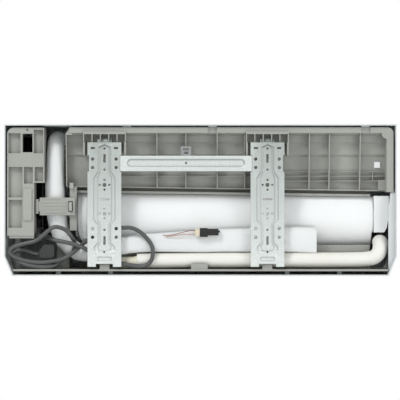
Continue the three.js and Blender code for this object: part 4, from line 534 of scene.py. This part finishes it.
def cell_foam(name, colour, shade, crease):
    """Closed-cell foam: speckled cells, shallow dents, a soft, dull face and painted shade in its
    corners.
    """
    f = Finish(name, colour, 0.85)
    f.paint(f.ramp(f.noise(7, 3), 0.42, 0.72), shade, 0.5)
    f.paint(f.ramp(f.noise(900, 2), 0.55, 0.75), shade, 0.35)
    # painted shade in corners and where other parts lie close
    f.paint(f.corner_shade_mask(0.012), "9A9C9A", 0.45)
    f.gloss(f.noise(200, 2), 0.74, 0.92)
    f.bump(f.noise(26, 3, (1, 1, 1.6)), 0.0016, crease)
    f.bump(f.cells(1100), 0.00012, 0.5)
    return f.done(Specular_IOR_Level=0.25)


def cable_jacket(name, colour, light):
    """Extruded jacket: fine pale lengthways streaks, partly drawing marks and partly a painted
    sheen, and a broad satin shine.
    """
    f = Finish(name, colour, 0.42)
    # pale lengthways streaks: drawing marks and painted sheen
    f.paint(f.ramp(f.noise(30, 3, (1, 6, 1), "UV"), 0.4, 0.7), light, 0.35)
    f.paint(f.ramp(f.noise(16, 2), 0.55, 0.8), "3E3F3E", 0.3)
    f.gloss(f.noise(50, 2), 0.34, 0.52)
    f.bump(f.noise(60, 2, (1, 14, 1), "UV"), 0.00008, 0.4)
    return f.done()


def hose_skin():
    """Ivory hose: soft skin with ring marks along it, light stains and painted shade where parts
    lie close to it.
    """
    f = Finish("ivory_hose", "E9E8E1", 0.6)
    f.paint(f.ramp(f.noise(14, 3), 0.5, 0.78), "DCDACB", 0.5)
    # painted shade where other parts lie close
    f.paint(f.corner_shade_mask(0.015), "A8A696", 0.35)
    f.gloss(f.noise(80, 2), 0.5, 0.7)
    f.bump(f.bands(24, "X", "UV", 0.6), 0.0002, 0.25)
    f.bump(f.noise(60, 3), 0.0006, 0.4)
    return f.done()


def hose_end():
    """Cream moulded rubber of the hose's smooth end."""
    f = Finish("hose_end", "E6E2CF", 0.5)
    f.paint(f.ramp(f.noise(40, 3), 0.45, 0.75), "D6D0B6", 0.5)
    f.gloss(f.noise(90, 2), 0.4, 0.55)
    f.bump(f.noise(300, 2), 0.00008, 0.4)
    return f.done()


def fin_pack():
    """Aluminium fins as waves 5 mm apart along X, with painted shade between them."""
    f = Finish("fin_pack", "C2C6CA", 0.4, 0.8)
    fins = f.bands(62.5, "X")
    # painted shade in the gaps between the fins
    f.paint(f.ramp(fins, 0.55, 0.15), "4A4E52", 0.75)
    f.paint(f.ramp(f.noise(20, 3), 0.5, 0.8), "9AA0A6", 0.4)
    f.gloss(f.noise(60, 2), 0.3, 0.5)
    f.bump(fins, 0.0007, 0.8)
    return f.done()


def drawn_copper():
    """Copper tube with darker tarnish clouds."""
    f = Finish("drawn_copper", "C4835C", 0.3, 1.0)
    f.paint(f.ramp(f.noise(40, 4), 0.5, 0.75), "8A5238", 0.6)
    f.gloss(f.noise(90, 3), 0.24, 0.45)
    f.bump(f.noise(500, 2), 0.00003, 0.5)
    return f.done()


def turned_brass():
    """Turned nut: tool marks round it, every 0.35 mm along X."""
    f = Finish("turned_brass", "CDA85A", 0.28, 1.0)
    f.soft_edges(0.0005)
    f.paint(f.ramp(f.noise(60, 3), 0.5, 0.8), "97773A", 0.5)
    f.gloss(f.noise(120, 2), 0.2, 0.4)
    f.bump(f.bands(900, "X"), 0.00003, 0.5)
    return f.done()


def circuit_board():
    """Green board: pale traces as cell edges and small solder dots."""
    f = Finish("circuit_board", "2E6B45", 0.4)
    f.paint(f.ramp(f.cells(140, feature="DISTANCE_TO_EDGE"), 0.09, 0.03), "58A06A", 0.7)
    f.paint(f.ramp(f.cells(210), 0.16, 0.1), "C9CCC6", 0.9)
    f.gloss(f.noise(80, 2), 0.3, 0.5)
    f.bump(f.cells(210), 0.0003, 0.4)
    return f.done()


def filter_mesh():
    """Woven filter net in a moulded frame: two crossed sets of fine threads."""
    f = Finish("filter_mesh", "2B2D2F", 0.5)
    across = f.bands(120, "X")
    up = f.bands(120, "Z")
    f.paint(f.ramp(across, 0.7, 0.95), "5A5D60", 0.5)
    f.paint(f.ramp(up, 0.7, 0.95), "5A5D60", 0.5)
    f.gloss(f.noise(60, 2), 0.4, 0.6)
    f.bump(across, 0.0002, 0.5)
    f.bump(up, 0.0002, 0.5)
    return f.done()


def wire_skin(name, colour):
    """Thin insulation with paler patches."""
    f = Finish(name, colour, 0.4)
    f.paint(f.ramp(f.noise(60, 2), 0.45, 0.75), "B98A72", 0.4)
    f.gloss(f.noise(90, 2), 0.32, 0.5)
    f.bump(f.noise(400, 2), 0.00003, 0.4)
    return f.done()


FINISHES = {
    "grey_moulding": grey_moulding("grey_moulding", "9FA09A"),
    # a darker copy of the grey moulding: painted shade for the parts that sit deep inside the unit
    "shade_painted_moulding": grey_moulding("shaded_moulding", "8E908A"),
    # the casing's edges get painted shade in a darker grey
    "casing_white": white_moulding("casing_white", "CDD1D1", edge="8E9291"),
    "panel_white": white_moulding("panel_white", "DDE1E1", 0.25, 0.36),
    "box_black": black_moulding("box_black", "2B2D2D", 0.45, 0.6),
    "motor_white": white_moulding("motor_white", "D9DCDC", 0.4, 0.55),
    "black": black_moulding("black_moulding", "1B1C1D", 0.35, 0.5),
    "fan_black": black_moulding("fan_black", "33363A", 0.4, 0.6),
    "galvanised": galvanised("galvanised_sheet", "E2E8E5", "9AA19D"),
    "crossbar": galvanised("crossbar_sheet", "D6DCD9"),
    "bright_steel": bright_metal("bright_steel", "B9BCBE"),
    "bright_clip": bright_metal("bright_clip", "9DA0A1", 0.18, (1, 0.2, 0.1)),
    "cap_white": white_moulding("cap_white", "FAFBFB"),
    "motor_can": bright_metal("motor_can", "9EA2A5", 0.32),
    "foam": cell_foam("white_foam", "F2F4F3", "ECEEED", 0.35),
    "wrapped_foam": cell_foam("wrapped_foam", "E6E8E7", "D6D9D8", 0.8),
    "hose": hose_skin(),
    "hose_end": hose_end(),
    "cable": cable_jacket("cable_jacket", "484A49", "6C6E6D"),
    "connector": black_moulding("connector_black", "0D0E0F", 0.5, 0.65),
    "plug": black_moulding("plug_rubber", "2E2F2F", 0.4, 0.6),
    "fins": fin_pack(),
    "copper": drawn_copper(),
    "brass": turned_brass(),
    "board": circuit_board(),
    "filter": filter_mesh(),
    "beige": white_moulding("beige_nylon", "D3C6A9", 0.4, 0.55),
    "wire_1": wire_skin("wire_brown", "7F5244"),
    "wire_2": wire_skin("wire_tan", "A8806C"),
}

NODE_FINISH = {
    "galvanised": ["wall_plate_left", "wall_plate_right"],
    "crossbar": ["wall_crossbar"],
    "bright_clip": ["hanger_clip"],
    "cap_white": ["hole_cap"],
    "bright_steel": ["clamp_pin", "fan_shaft"],
    "motor_can": ["fan_motor"],
    "grey_moulding": ["rear_chassis", "pipe_side_block", "pipe_clamp", "drain_spout"],
    "shade_painted_moulding": ["motor_cradle", "drain_pan", "outlet_duct", "vane_floor",
                      "vane_link_left", "vane_link_right"]
    + [f"air_vane_{i}" for i in range(1, 11)],
    "foam": ["scroll_foam", "scroll_foam_end"],
    "wrapped_foam": ["riser_foam", "tail_foam"],
    "copper": ["gas_pipe", "liquid_pipe"],
    "brass": ["gas_flare_nut", "liquid_flare_nut"],
    "hose": ["drain_hose"],
    "cable": ["power_cord"],
    "plug": ["power_plug", "cord_gland"],
    "wire_1": ["sensor_wire_1"],
    "wire_2": ["sensor_wire_2"],
    "beige": ["wire_collar"],
    "black": ["fan_bearing", "terminal_block", "display_board"],
    "connector": ["wire_connector"],
    "fan_black": ["fan_wheel"],
    "fins": ["coil_front_lower", "coil_front_upper", "coil_rear"],
    "board": ["control_board"],
    "filter": ["air_filter_left", "air_filter_right"],
    "box_black": ["control_box"],
    "motor_white": ["louvre_motor"],
    "casing_white": ["outer_casing"],
    "panel_white": ["louvre", "front_panel", "manual_button"],
}
for finish, names in NODE_FINISH.items():
    for name in names:
        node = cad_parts[name]
        node.data.materials.clear()
        node.data.materials.append(FINISHES[finish])


# ---------- cords: mains cable, drain hose, sensor wires ----------
ROUTE_STEP = 3.5 * MM         # between two rings of the cable and of the hose
WIRE_STEP = 2 * MM
CABLE_ROUTE = [
    (-327, 27, 80), (-320, 26.8, 79.6), (-309, 20.5, 75.8), (-296, 14, 72.4),
    (-280, 9.8, 69.5), (-262, 9, 65.5), (-242, 9, 59), (-230, 9.4, 52), (-206, 9.4, 38),
    (-184, 9.4, 28.5), (-159, 9.4, 24.6), (-141, 9.4, 21.5), (-122.5, 9.4, 19.2),
    (-108.3, 9.4, 22.8), (-99.7, 9.4, 32.8), (-96.9, 9.4, 47), (-99.7, 9.4, 62.7),
    (-109.7, 9.4, 76.9), (-124, 9.4, 90), (-141, 9.4, 97.7), (-159, 9.4, 97.7),
    (-184, 9.4, 94), (-210, 9.6, 84.5), (-230, 12, 73), (-244, 18, 62),
    (-261.7, 18.2, 46.6), (-279.4, 16.5, 35), (-302.6, 12, 29.6), (-326, 9.6, 27.2),
    (-352, 9.4, 29.8), (-375, 9.4, 36.5), (-388.5, 9.4, 45), (-389, 9.4, 52),
    (-381, 9.4, 59), (-361, 9.4, 65.3), (-338, 9.2, 70.8), (-325.5, 8.8, 79),
    (-313, 8.8, 90), (-297, 8.8, 99.5), (-276, 9.4, 94), (-264, 13, 81), (-258, 22, 69),
    (-258.5, 27.8, 57), (-263.5, 28.6, 46), (-279.4, 27, 35), (-291, 23.5, 27),
    (-299, 17, 20.5), (-309, 11.5, 18.4), (-326, 9.4, 18.2), (-350, 9.4, 21.5),
    (-373, 14, 29.5), (-386, 24, 37.5), (-383, 27, 47), (-372, 27, 51),
    (-355, 26, 50), (-341, 25, 45), (-335, 25, 44), (-329.5, 25, 44),
]
CABLE_RADIUS = 0.0043
CABLE_SIDES = 14
RELIEF_LENGTH = 30 * MM       # rubber sleeve where the cable leaves the gland
RELIEF_STEP = 0.5 * MM
RELIEF_RADII = (6.9 * MM, 4.9 * MM)
RELIEF_GROOVE = 0.6 * MM
RELIEF_PITCH = 5 * MM
RELIEF_SIDES = 22
HOSE_ROUTE = [
    (371, 61.7, 67.5), (371, 46, 67), (370, 34, 59), (366, 30.5, 46), (356, 30, 37),
    (338, 30, 33.5), (300, 30, 32), (200, 30, 32), (80, 30, 32), (-40, 30, 31.3),
    (-130, 30, 29.8),
]
HOSE_RADIUS = 0.0155
HOSE_SIDES = 28
HOSE_BEND = (0.062, 0.022)    # middle and half width of the creased bend along the hose, metres
FOLD_DEPTH = 1.1 * MM
FOLD_PITCH = 9 * MM
CUFF_LENGTH = 34
CUFF_DROP = 3
CUFF_RADIUS = 0.0115
CUFF_SIDES = 32
WIRE_RADIUS = 0.0008
WIRE_SPREAD = [3.5, -3.5]
WIRE_SIDES = 10


def dress(piece, finish, body="indoor_unit"):
    """Gives the piece its finish and lets it move with a body."""
    piece.data.materials.append(FINISHES[finish])
    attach(piece, body)


def mains_cable():
    """A round tube along the route: side = +Y made square to the route. Gives back the route."""
    line, _ = smooth_route(row(CABLE_ROUTE), ROUTE_STEP)
    piece = sleeve("mains_cable", line, TO_ROOM, CABLE_RADIUS, CABLE_RADIUS, CABLE_SIDES)
    dress(piece, "cable")
    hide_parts("power_cord")
    return line


def strain_relief(line):
    """Ribbed rubber sleeve where the cable leaves the gland: 30 mm long, tapering outwards.

    radius = 6.9 mm falling evenly to 4.9 mm, less 0.6 mm in a groove every 5 mm, with both
    ends left whole.
    """
    places = run_along(line)
    run = np.arange(0, RELIEF_LENGTH + RELIEF_STEP / 2, RELIEF_STEP)
    route = np.stack([np.interp(run, places, line[:, k]) for k in range(3)], -1)
    groove = np.clip(np.cos(2 * np.pi * run / RELIEF_PITCH), 0, 1) ** 2
    whole = 4
    groove[:whole] = 0
    groove[-whole:] = 0
    radius = np.interp(run, [0, RELIEF_LENGTH], RELIEF_RADII) - RELIEF_GROOVE * groove
    radius = radius[:, None]
    piece = sleeve("cable_strain_relief", route, TO_ROOM, radius, radius, RELIEF_SIDES)
    dress(piece, "plug")


def drain_hose():
    """A tube whose radius swells by a slow wave and folds on the inside of its one bend.

    radius = R (0.985 + 0.012 sin(40 s)) less a row of folds, cos(2 pi s / 9 mm), that fade
    outwards from the bend's middle and towards the bend's outer side.
    """
    line, places = smooth_route(row(HOSE_ROUTE), ROUTE_STEP)
    sideways = turn_between(len(line), TO_RIGHT, TO_ROOM, 0.02, 0.16)
    angle = around(HOSE_SIDES)
    middle, half = HOSE_BEND
    bend = np.exp(-((places - middle) / half) ** 2)[:, None]
    inside = np.clip(-np.cos(angle - np.pi / 2), 0, 1)[None] ** 2
    waves = (0.5 + 0.5 * np.cos(2 * np.pi * places / FOLD_PITCH))[:, None]
    swell = (0.985 + 0.012 * np.sin(40 * places))[:, None]
    radius = HOSE_RADIUS * swell - FOLD_DEPTH * bend * inside * waves
    piece = sleeve("drain_hose_body", line, sideways, radius, radius, HOSE_SIDES)
    dress(piece, "hose")
    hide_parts("drain_hose")


def hose_cuff():
    """Smooth round end of the hose: a collar, a short neck and a turned-in mouth.

    Rings of the listed radii, as shares of the cuff's own, stand along X at the listed places.
    """
    x, y, h = HOSE_ROUTE[-1]
    along = [2, 0, -5, -6, 1 - CUFF_LENGTH, -CUFF_LENGTH, -CUFF_LENGTH, 6 - CUFF_LENGTH]
    radius = np.array([1.1, 1.1, 1.1, 1.0, 1.0, 0.94, 0.8, 0.78]) * CUFF_RADIUS
    route = row([(x + a, y, h - CUFF_DROP) for a in along])
    angle = around(CUFF_SIDES)
    circle = np.stack([0 * angle, np.cos(angle), np.sin(angle)], -1)
    ring = route[:, None] + radius[:, None, None] * circle[None]
    faces = grid_faces(len(along), CUFF_SIDES, wrap=True).tolist()
    faces.append(list(reversed(range(CUFF_SIDES))))
    faces.append([(len(along) - 1) * CUFF_SIDES + k for k in range(CUFF_SIDES)])
    piece = new_piece("hose_cuff", ring.reshape(-1, 3), faces)
    outwards(piece)
    dress(piece, "hose_end")


def sensor_wires():
    """Two thin tubes from the foam tail to the collar."""
    for index, spread in enumerate(WIRE_SPREAD):
        route = [
            (-76 + 6 * index, 14.2, 82 - 2.6 * index), (-60 + 4 * index, 12, 83 - 1.6 * index),
            (-38, 10, 86 + spread * 0.6), (-22, 9, 88.5 + spread), (-10.7, 9, 88.5 + spread),
        ]
        line, _ = smooth_route(row(route), WIRE_STEP)
        name = f"wire_{index + 1}"
        piece = sleeve(name, line, TO_ROOM, WIRE_RADIUS, WIRE_RADIUS, WIRE_SIDES)
        dress(piece, name)
        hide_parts(f"sensor_{name}")


strain_relief(mains_cable())
drain_hose()
hose_cuff()
sensor_wires()


# ---------- white foam ----------
RISER_ROUTE = [
    (-298, 102, 281), (-298, 82, 281), (-298.5, 60, 272), (-299.5, 49, 249), (-300, 46, 214),
    (-300, 46, 180), (-299, 46, 146), (-295, 48, 116), (-288, 53, 88), (-276, 55, 65),
    (-257, 53, 50), (-234, 46, 46), (-209, 38, 51), (-184.3, 34, 58),
]
RISER_STEP = 4 * MM
RISER_SIDES = 40
RISER_STOPS = [0, 0.1, 0.25, 0.36, 0.44, 0.52, 0.62, 0.75, 0.88, 1]
RISER_WIDTHS = [18, 18, 18.2, 19.5, 20.5, 20.8, 20.5, 19, 16.5, 15]
RISER_DEPTHS = [18, 18, 18.2, 18, 17.2, 17, 18, 18.3, 18.3, 18]
DENT = 0.5 * MM
FAN_DEPTH, FAN_HEIGHT = 106, 128
FOAM_LEFT, FOAM_RIGHT = -253.7, 357.2
FOAM_WALL = 5.8
FOAM_ROWS = 70
TAIL_LEFT, TAIL_RIGHT = -184, 238
TAIL_PLACES = [-184, -130, -92, 38, 182, 238]
TAIL_MIDDLES = [58, 65.4, 67.5, 74, 76.4, 73.6]
TAIL_COLUMNS = 150
TAIL_SIDES = 72
TAIL_EASE = 15                # columns on each side that a bend of the tail is spread over
TAIL_CENTRE = 31.5 * MM
TAIL_HALF_DEPTH = 15.3 * MM
TAIL_HALF_HEIGHT = 24.8 * MM
TAIL_WALL = 2.2 * MM
TAIL_SAG = 4.8 * MM
ROUNDNESS = 3.4               # power of the tail's section, 2 for an ellipse
WAVES = 12


def soft_noise(a, b, seed):
    """A smooth wandering value from a sum of twelve seeded sine waves, about -1 to 1."""
    rng = np.random.default_rng(seed)
    total = np.zeros(np.broadcast(a, b).shape)
    for _ in range(WAVES):
        fa, fb, phase = rng.uniform(-1, 1), rng.uniform(-1, 1), rng.uniform(0, 2 * np.pi)
        total = total + np.sin(fa * a + fb * b + phase)
    return total / 4


def dress_foam(piece, finish, node):
    """Dresses a foam piece that takes the place of the frame's node."""
    dress(piece, finish)
    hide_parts(node)


def riser_foam():
    """Foam sleeve down the pipes: an elliptic tube, widest at the clamp and folded at the foot.

    Half width and half depth follow the stations' way along the route; shallow folds run
    round it where it bends, 0.9 mm deep and 17 mm apart, and soft dents come from soft_noise.
    """
    line, places = smooth_route(row(RISER_ROUTE), RISER_STEP)
    way = places / places[-1]
    angle = around(RISER_SIDES)
    width = np.interp(way, RISER_STOPS, RISER_WIDTHS)[:, None] * MM
    depth = np.interp(way, RISER_STOPS, RISER_DEPTHS)[:, None] * MM
    dents = soft_noise(places[:, None] * 60, angle[None], 3) * DENT
    foot = np.exp(-((way - 0.72) / 0.12) ** 2)[:, None]
    folds = 0.9 * MM * foot * np.cos(2 * np.pi * places / (17 * MM))[:, None] * (
        0.4 + 0.6 * np.cos(angle - 0.8)[None] ** 2)
    sideways = turn_between(len(line), TO_RIGHT, TO_ROOM, 0.5, 0.85)
    piece = sleeve("riser_sleeve", line, sideways, width + dents + folds,
                   depth + dents + folds, RISER_SIDES)
    dress_foam(piece, "wrapped_foam", "riser_foam")


def tail_foam():
    """Open foam sleeve: a rounded rectangle along X, outside there and inside back again.

    Section: |y/a|^n + |z/b|^n = 1 with n = 3.4, so y = a sgn(cos t)|cos t|^(2/n) and
    z = b sgn(sin t)|sin t|^(2/n). b grows evenly to the right. The middle height follows the
    pipes' sag, and the lower half hangs up to 4.8 mm further down, onto the hose.
    """
    x = np.linspace(TAIL_LEFT, TAIL_RIGHT, TAIL_COLUMNS) * MM
    middle = np.interp(x, np.array(TAIL_PLACES) * MM, np.array(TAIL_MIDDLES) * MM)
    kernel = np.hanning(2 * TAIL_EASE + 1)
    padded = np.pad(middle, TAIL_EASE, mode="edge")
    middle = np.convolve(padded, kernel / kernel.sum(), mode="valid")
    middle += np.linspace(TAIL_MIDDLES[0] * MM - middle[0], 0, len(x)) * (x < -0.15)
    swell = 0.74 + 0.26 * (x - x[0]) / (x[-1] - x[0])
    t = around(TAIL_SIDES)
    cy = np.sign(np.cos(t)) * np.abs(np.cos(t)) ** (2 / ROUNDNESS)
    cz = np.sign(np.sin(t)) * np.abs(np.sin(t)) ** (2 / ROUNDNESS)
    wave = soft_noise(x[:, None] * 38, t[None], 8) * DENT
    over_hose = np.clip((x + 0.092) / 0.1, 0, 1)
    sag = TAIL_SAG * over_hose[:, None] * np.minimum(cz, 0)[None]

    def shell(inset, relief):
        half_height = TAIL_HALF_HEIGHT * swell[:, None] - inset + relief
        z = (middle + UNDERSIDE)[:, None] + half_height * cz[None] + sag
        y = TAIL_CENTRE + (TAIL_HALF_DEPTH - inset + relief) * cy[None]
        return np.stack(np.broadcast_arrays(x[:, None], y, z), -1)

    outside = shell(0.0, wave - 0.4 * MM)
    inside = shell(TAIL_WALL, 0.0)[::-1]
    points = np.concatenate([outside, inside]).reshape(-1, 3)
    rows = 2 * len(x)
    faces = grid_faces(rows, len(t), wrap=True)
    k = np.arange(len(t))
    following = (k + 1) % len(t)
    last = (rows - 1) * len(t)
    seam = np.stack([last + k, last + following, following, k], -1)
    piece = new_piece("tail_sleeve", points, np.vstack([faces, seam])[:, ::-1].tolist())
    dress_foam(piece, "wrapped_foam", "tail_foam")


def housing_foam():
    """Foam on the fan housing: a spiral band, radius = 60.8 mm + 14 s^2 with s = (turn-135)/105.

    y = 106 + r cos(turn), h = 128 + r sin(turn). The band starts under the chassis lip, whose
    height falls to the right, and ends at turn 246. The inner face lies 5.8 mm nearer the fan.
    Two flat ribs run round its left end, and its lower corners are drawn in.
    """
    down = np.linspace(0, 1, FOAM_ROWS)[:, None]
    x = np.concatenate([
        np.linspace(FOAM_LEFT, -247.2, 5), np.linspace(-246.6, -234.2, 9),
        np.linspace(-233.4, FOAM_RIGHT, 120)])
    lip_underside = 184 - 9 * (x + 275.5) / 669.5 - 13.6
    first = 180 - np.degrees(np.arcsin((lip_underside - FAN_HEIGHT) / 61))
    turn = first[None] + (246 - first)[None] * down
    s = (turn - 135) / 105
    outer = 60.8 + 14 * s * s
    a = np.radians(turn)
    left_cut = 12 * np.clip((turn - 200) / 40, 0, 1) ** 2
    right_cut = 3.4 * np.clip((turn - 212) / 6, 0, 1)
    across = x[None] + left_cut * np.exp(-(x[None] - FOAM_LEFT) / 16)
    across = across - right_cut * np.exp(-(FOAM_RIGHT - x[None]) / 8)
    dip = 1.6 * (np.abs(x + 246.9) < 0.5) + 2.2 * (np.abs(x + 233.8) < 0.6)
    low = 0.5 * (x > -233)
    dents = 0.25 * soft_noise(x[None] / 60, turn / 25, 5)
    face = outer - dip[None] - low[None] + dents

    def surface(radius):
        y, h = FAN_DEPTH + radius * np.cos(a), FAN_HEIGHT + radius * np.sin(a)
        return row(np.stack([across, y, h], -1)).reshape(-1, 3)

    rows, columns = face.shape
    count = rows * columns
    faces = [grid_faces(rows, columns), grid_faces(rows, columns) + count]
    i, j = np.arange(rows - 1) * columns, np.arange(columns - 1)
    for edge, onwards in ((i, columns), (i + columns - 1, columns),
                          (j, 1), (j + (rows - 1) * columns, 1)):
        faces.append(np.stack([edge, edge + onwards, edge + onwards + count, edge + count], -1))
    points = np.concatenate([surface(face), surface(outer - FOAM_WALL)])
    piece = new_piece("housing_foam", points, np.vstack(faces).tolist())
    outwards(piece)
    dress_foam(piece, "foam", "scroll_foam")


riser_foam()
tail_foam()
housing_foam()


# ---------- pressed steel bracket ----------
PLATE_LOW, PLATE_HIGH = 18.5, 272.5
PLATE_HALF = 34.5
WAIST_HALF = 31.75            # narrower where the crossbar joins
PLATE_CENTRES = {"left": -195.4, "right": 136.6}
BAR_LEFT, BAR_RIGHT = -163.3, 104.5
BAR_LOW, BAR_HIGH = 213.0, 245.0
BAR_TAB = 4                   # ends of the bar that lap the plates
PLATE_PITCH, BAR_PITCH = 0.75, 1.0   # steps of the grids that the sheets are built on
BAR_HOLE = (-29.3, 230, 2.1)
HOOK_PATH = [(0.8, 272.3), (11, 272.3), (12.6, 272.6), (13.3, 273.8), (13.4, 282.3)]
HOOK_HALF = 15.0
SHEET = 1.2


def step(value, edge, width):
    """0 above the edge, 1 below it, eased over the width."""
    w = np.clip((edge + width / 2 - value) / width, 0, 1)
    return w * w * (3 - 2 * w)


def plate_relief(x, h):
    """Depth of the pressing at x, h: two nested channels, wide in the middle, plus small beads.

    depth = 1.6 mm within the outer channel's half width and 1.4 mm more within the inner one's,
    plus 1.6 mm in the foot's bead, 0.8 mm in the head's lip and two round dimples 1 mm deep;
    the edges are eased by step.
    """
    heights = [40, 52, 59, 68, 104, 114, 199, 213, 262, 268]
    outer = np.interp(h, heights, [0, 21, 21, 13, 13, 22, 22, 13, 13, 0])
    inner = np.interp(h, heights, [0, 12, 14, 9.5, 9.5, 15, 15, 9.5, 9.5, 0])
    ends = step(np.abs(h - 160), 109, 6)
    depth = 1.6 * step(np.abs(x), outer, 1.9) * ends + 1.4 * step(np.abs(x), inner, 1.9) * ends
    bead = step(np.abs(x), 14, 2.5) * step(np.abs(h - 34.5), 4, 2.5)
    dimples = np.exp(-((np.abs(x) - 19.4) ** 2 + (h - 44) ** 2) / 9)
    lip = step(np.abs(x), 15, 2) * step(-h, -267.5, 2)
    return depth + 1.6 * bead + 1.0 * dimples + 0.8 * lip


def plate_cuts():
    """Round holes as x, h, radius and slots as x, h, half width, half height."""
    rounds = [(0, 185.5, 4), (0, 126.5, 3.4)]
    for side in (-1, 1):
        rounds += [(side * 24, h, 3.4) for h in (238, 220.8, 96.5, 79)]
        rounds += [(side * 9.8, h, 2.1) for h in (185.5, 127)]
    rounds += [(0, h, 2.1) for h in (259.5, 216.5, 195.5, 175.8, 136.8, 117.6, 94, 49)]
    slots = [(0, 156.3, 10, 1.75), (0, 239.5, 2.2, 8.5), (0, 72, 2.3, 8.5),
             (-23.5, 260.5, 4, 1.8), (23.5, 260.5, 4, 1.8), (0, 20, 17, 4.6)]
    return rounds, slots


def thicken(piece, offset):
    """Sheet metal's thickness: offset -1 lays it behind the surface, 0 on both sides of it."""
    thick = piece.modifiers.new("sheet", "SOLIDIFY")
    thick.thickness = SHEET * MM
    thick.offset = offset
    thick.use_even_offset = False


def pressed_sheet(name, x, h, relief, rounds, slots, shape, centre=0.0):
    """Sheet metal as a height field y(x, h) on a grid, holed, with Solidify for its thickness.

    Grid points within 0.62 of a step of a round hole's rim are moved onto the rim; cells whose
    middle lies in a hole, or outside the sheet's shape, are left out.
    """
    gx, gh = np.meshgrid(x, h)
    pitch = x[1] - x[0]
    for cx, ch, r in rounds:
        d = np.hypot(gx - cx, gh - ch)
        near = (np.abs(d - r) < 0.62 * pitch) & (d > 1e-6)
        scale = np.where(near, r / np.maximum(d, 1e-6), 1)
        gx, gh = cx + (gx - cx) * scale, ch + (gh - ch) * scale
    depth = relief(gx, gh)
    points = row(np.stack([gx + centre, depth, gh], -1)).reshape(-1, 3)
    quads = grid_faces(len(h), len(x))
    middle = np.stack([gx.ravel()[quads].mean(1), gh.ravel()[quads].mean(1)], -1)
    keep = shape(middle[:, 0], middle[:, 1])
    for cx, ch, r in rounds:
        keep &= np.hypot(middle[:, 0] - cx, middle[:, 1] - ch) > r * 0.98
    for cx, ch, half_x, half_h in slots:
        keep &= (np.abs(middle[:, 0] - cx) > half_x) | (np.abs(middle[:, 1] - ch) > half_h)
    quads = quads[keep]
    used = np.unique(quads)
    renumber = np.zeros(len(points), dtype=np.int64)
    renumber[used] = np.arange(len(used))
    piece = new_piece(name, points[used], renumber[quads].tolist())
    thicken(piece, -1.0)
    return piece


def wall_plate(side):
    """One plate: the relief on a grid, narrower at the waist that the crossbar joins."""
    rounds, slots = plate_cuts()

    def shape(x, h):
        waist = (h > BAR_LOW - 1) & (h < BAR_HIGH + 1)
        return np.abs(x) < np.where(waist, WAIST_HALF, PLATE_HALF)

    piece = pressed_sheet(
        f"pressed_plate_{side}", np.arange(-PLATE_HALF, PLATE_HALF + 0.1, PLATE_PITCH),
        np.arange(PLATE_LOW, PLATE_HIGH + 0.1, PLATE_PITCH), plate_relief, rounds, slots,
        shape, PLATE_CENTRES[side])
    dress(piece, "galvanised", "wall_bracket")
    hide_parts(f"wall_plate_{side}")


def plate_hook(side):
    """The plate's top edge folded into the room and up: a strip carried along an L path."""
    x = np.array([-HOOK_HALF, 1 - HOOK_HALF, HOOK_HALF - 1, HOOK_HALF]) + PLATE_CENTRES[side]
    path = np.repeat(HOOK_PATH, len(x), axis=0)
    points = row(np.column_stack([np.tile(x, len(HOOK_PATH)), path]))
    faces = grid_faces(len(HOOK_PATH), len(x)).tolist()
    piece = new_piece(f"plate_hook_{side}", points, faces)
    thicken(piece, 0.0)
    dress(piece, "galvanised", "wall_bracket")


def crossbar():
    """The bar between the plates, with one long bead pressed in with round ends.

    depth = 3 mm within 7 mm of the bead's middle line, eased over 5 mm, plus 1.5 mm for the
    joggle between the lapped ends.
    """
    middle, half = (BAR_LEFT + BAR_RIGHT) / 2, (BAR_RIGHT - BAR_LEFT) / 2

    def relief(x, h):
        along = np.abs(x - middle)
        d = np.hypot(np.clip(along - (half - 22), 0, None), h - BAR_HOLE[1])
        joggle = 1.5 * step(-along, -half - 1, 3)
        return 3.0 * step(d, 7, 5) + joggle

    def shape(x, h):
        tab = (x < BAR_LEFT) | (x > BAR_RIGHT)
        return ~tab | ((h > BAR_LOW + 1) & (h < BAR_HIGH - 1))

    piece = pressed_sheet(
        "pressed_crossbar", np.arange(BAR_LEFT - BAR_TAB, BAR_RIGHT + BAR_TAB + 0.1, BAR_PITCH),
        np.arange(BAR_LOW, BAR_HIGH + 0.1, BAR_PITCH), relief, [BAR_HOLE], [], shape)
    dress(piece, "crossbar", "wall_bracket")
    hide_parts("wall_crossbar")


for side in PLATE_CENTRES:
    wall_plate(side)
    plate_hook(side)
crossbar()
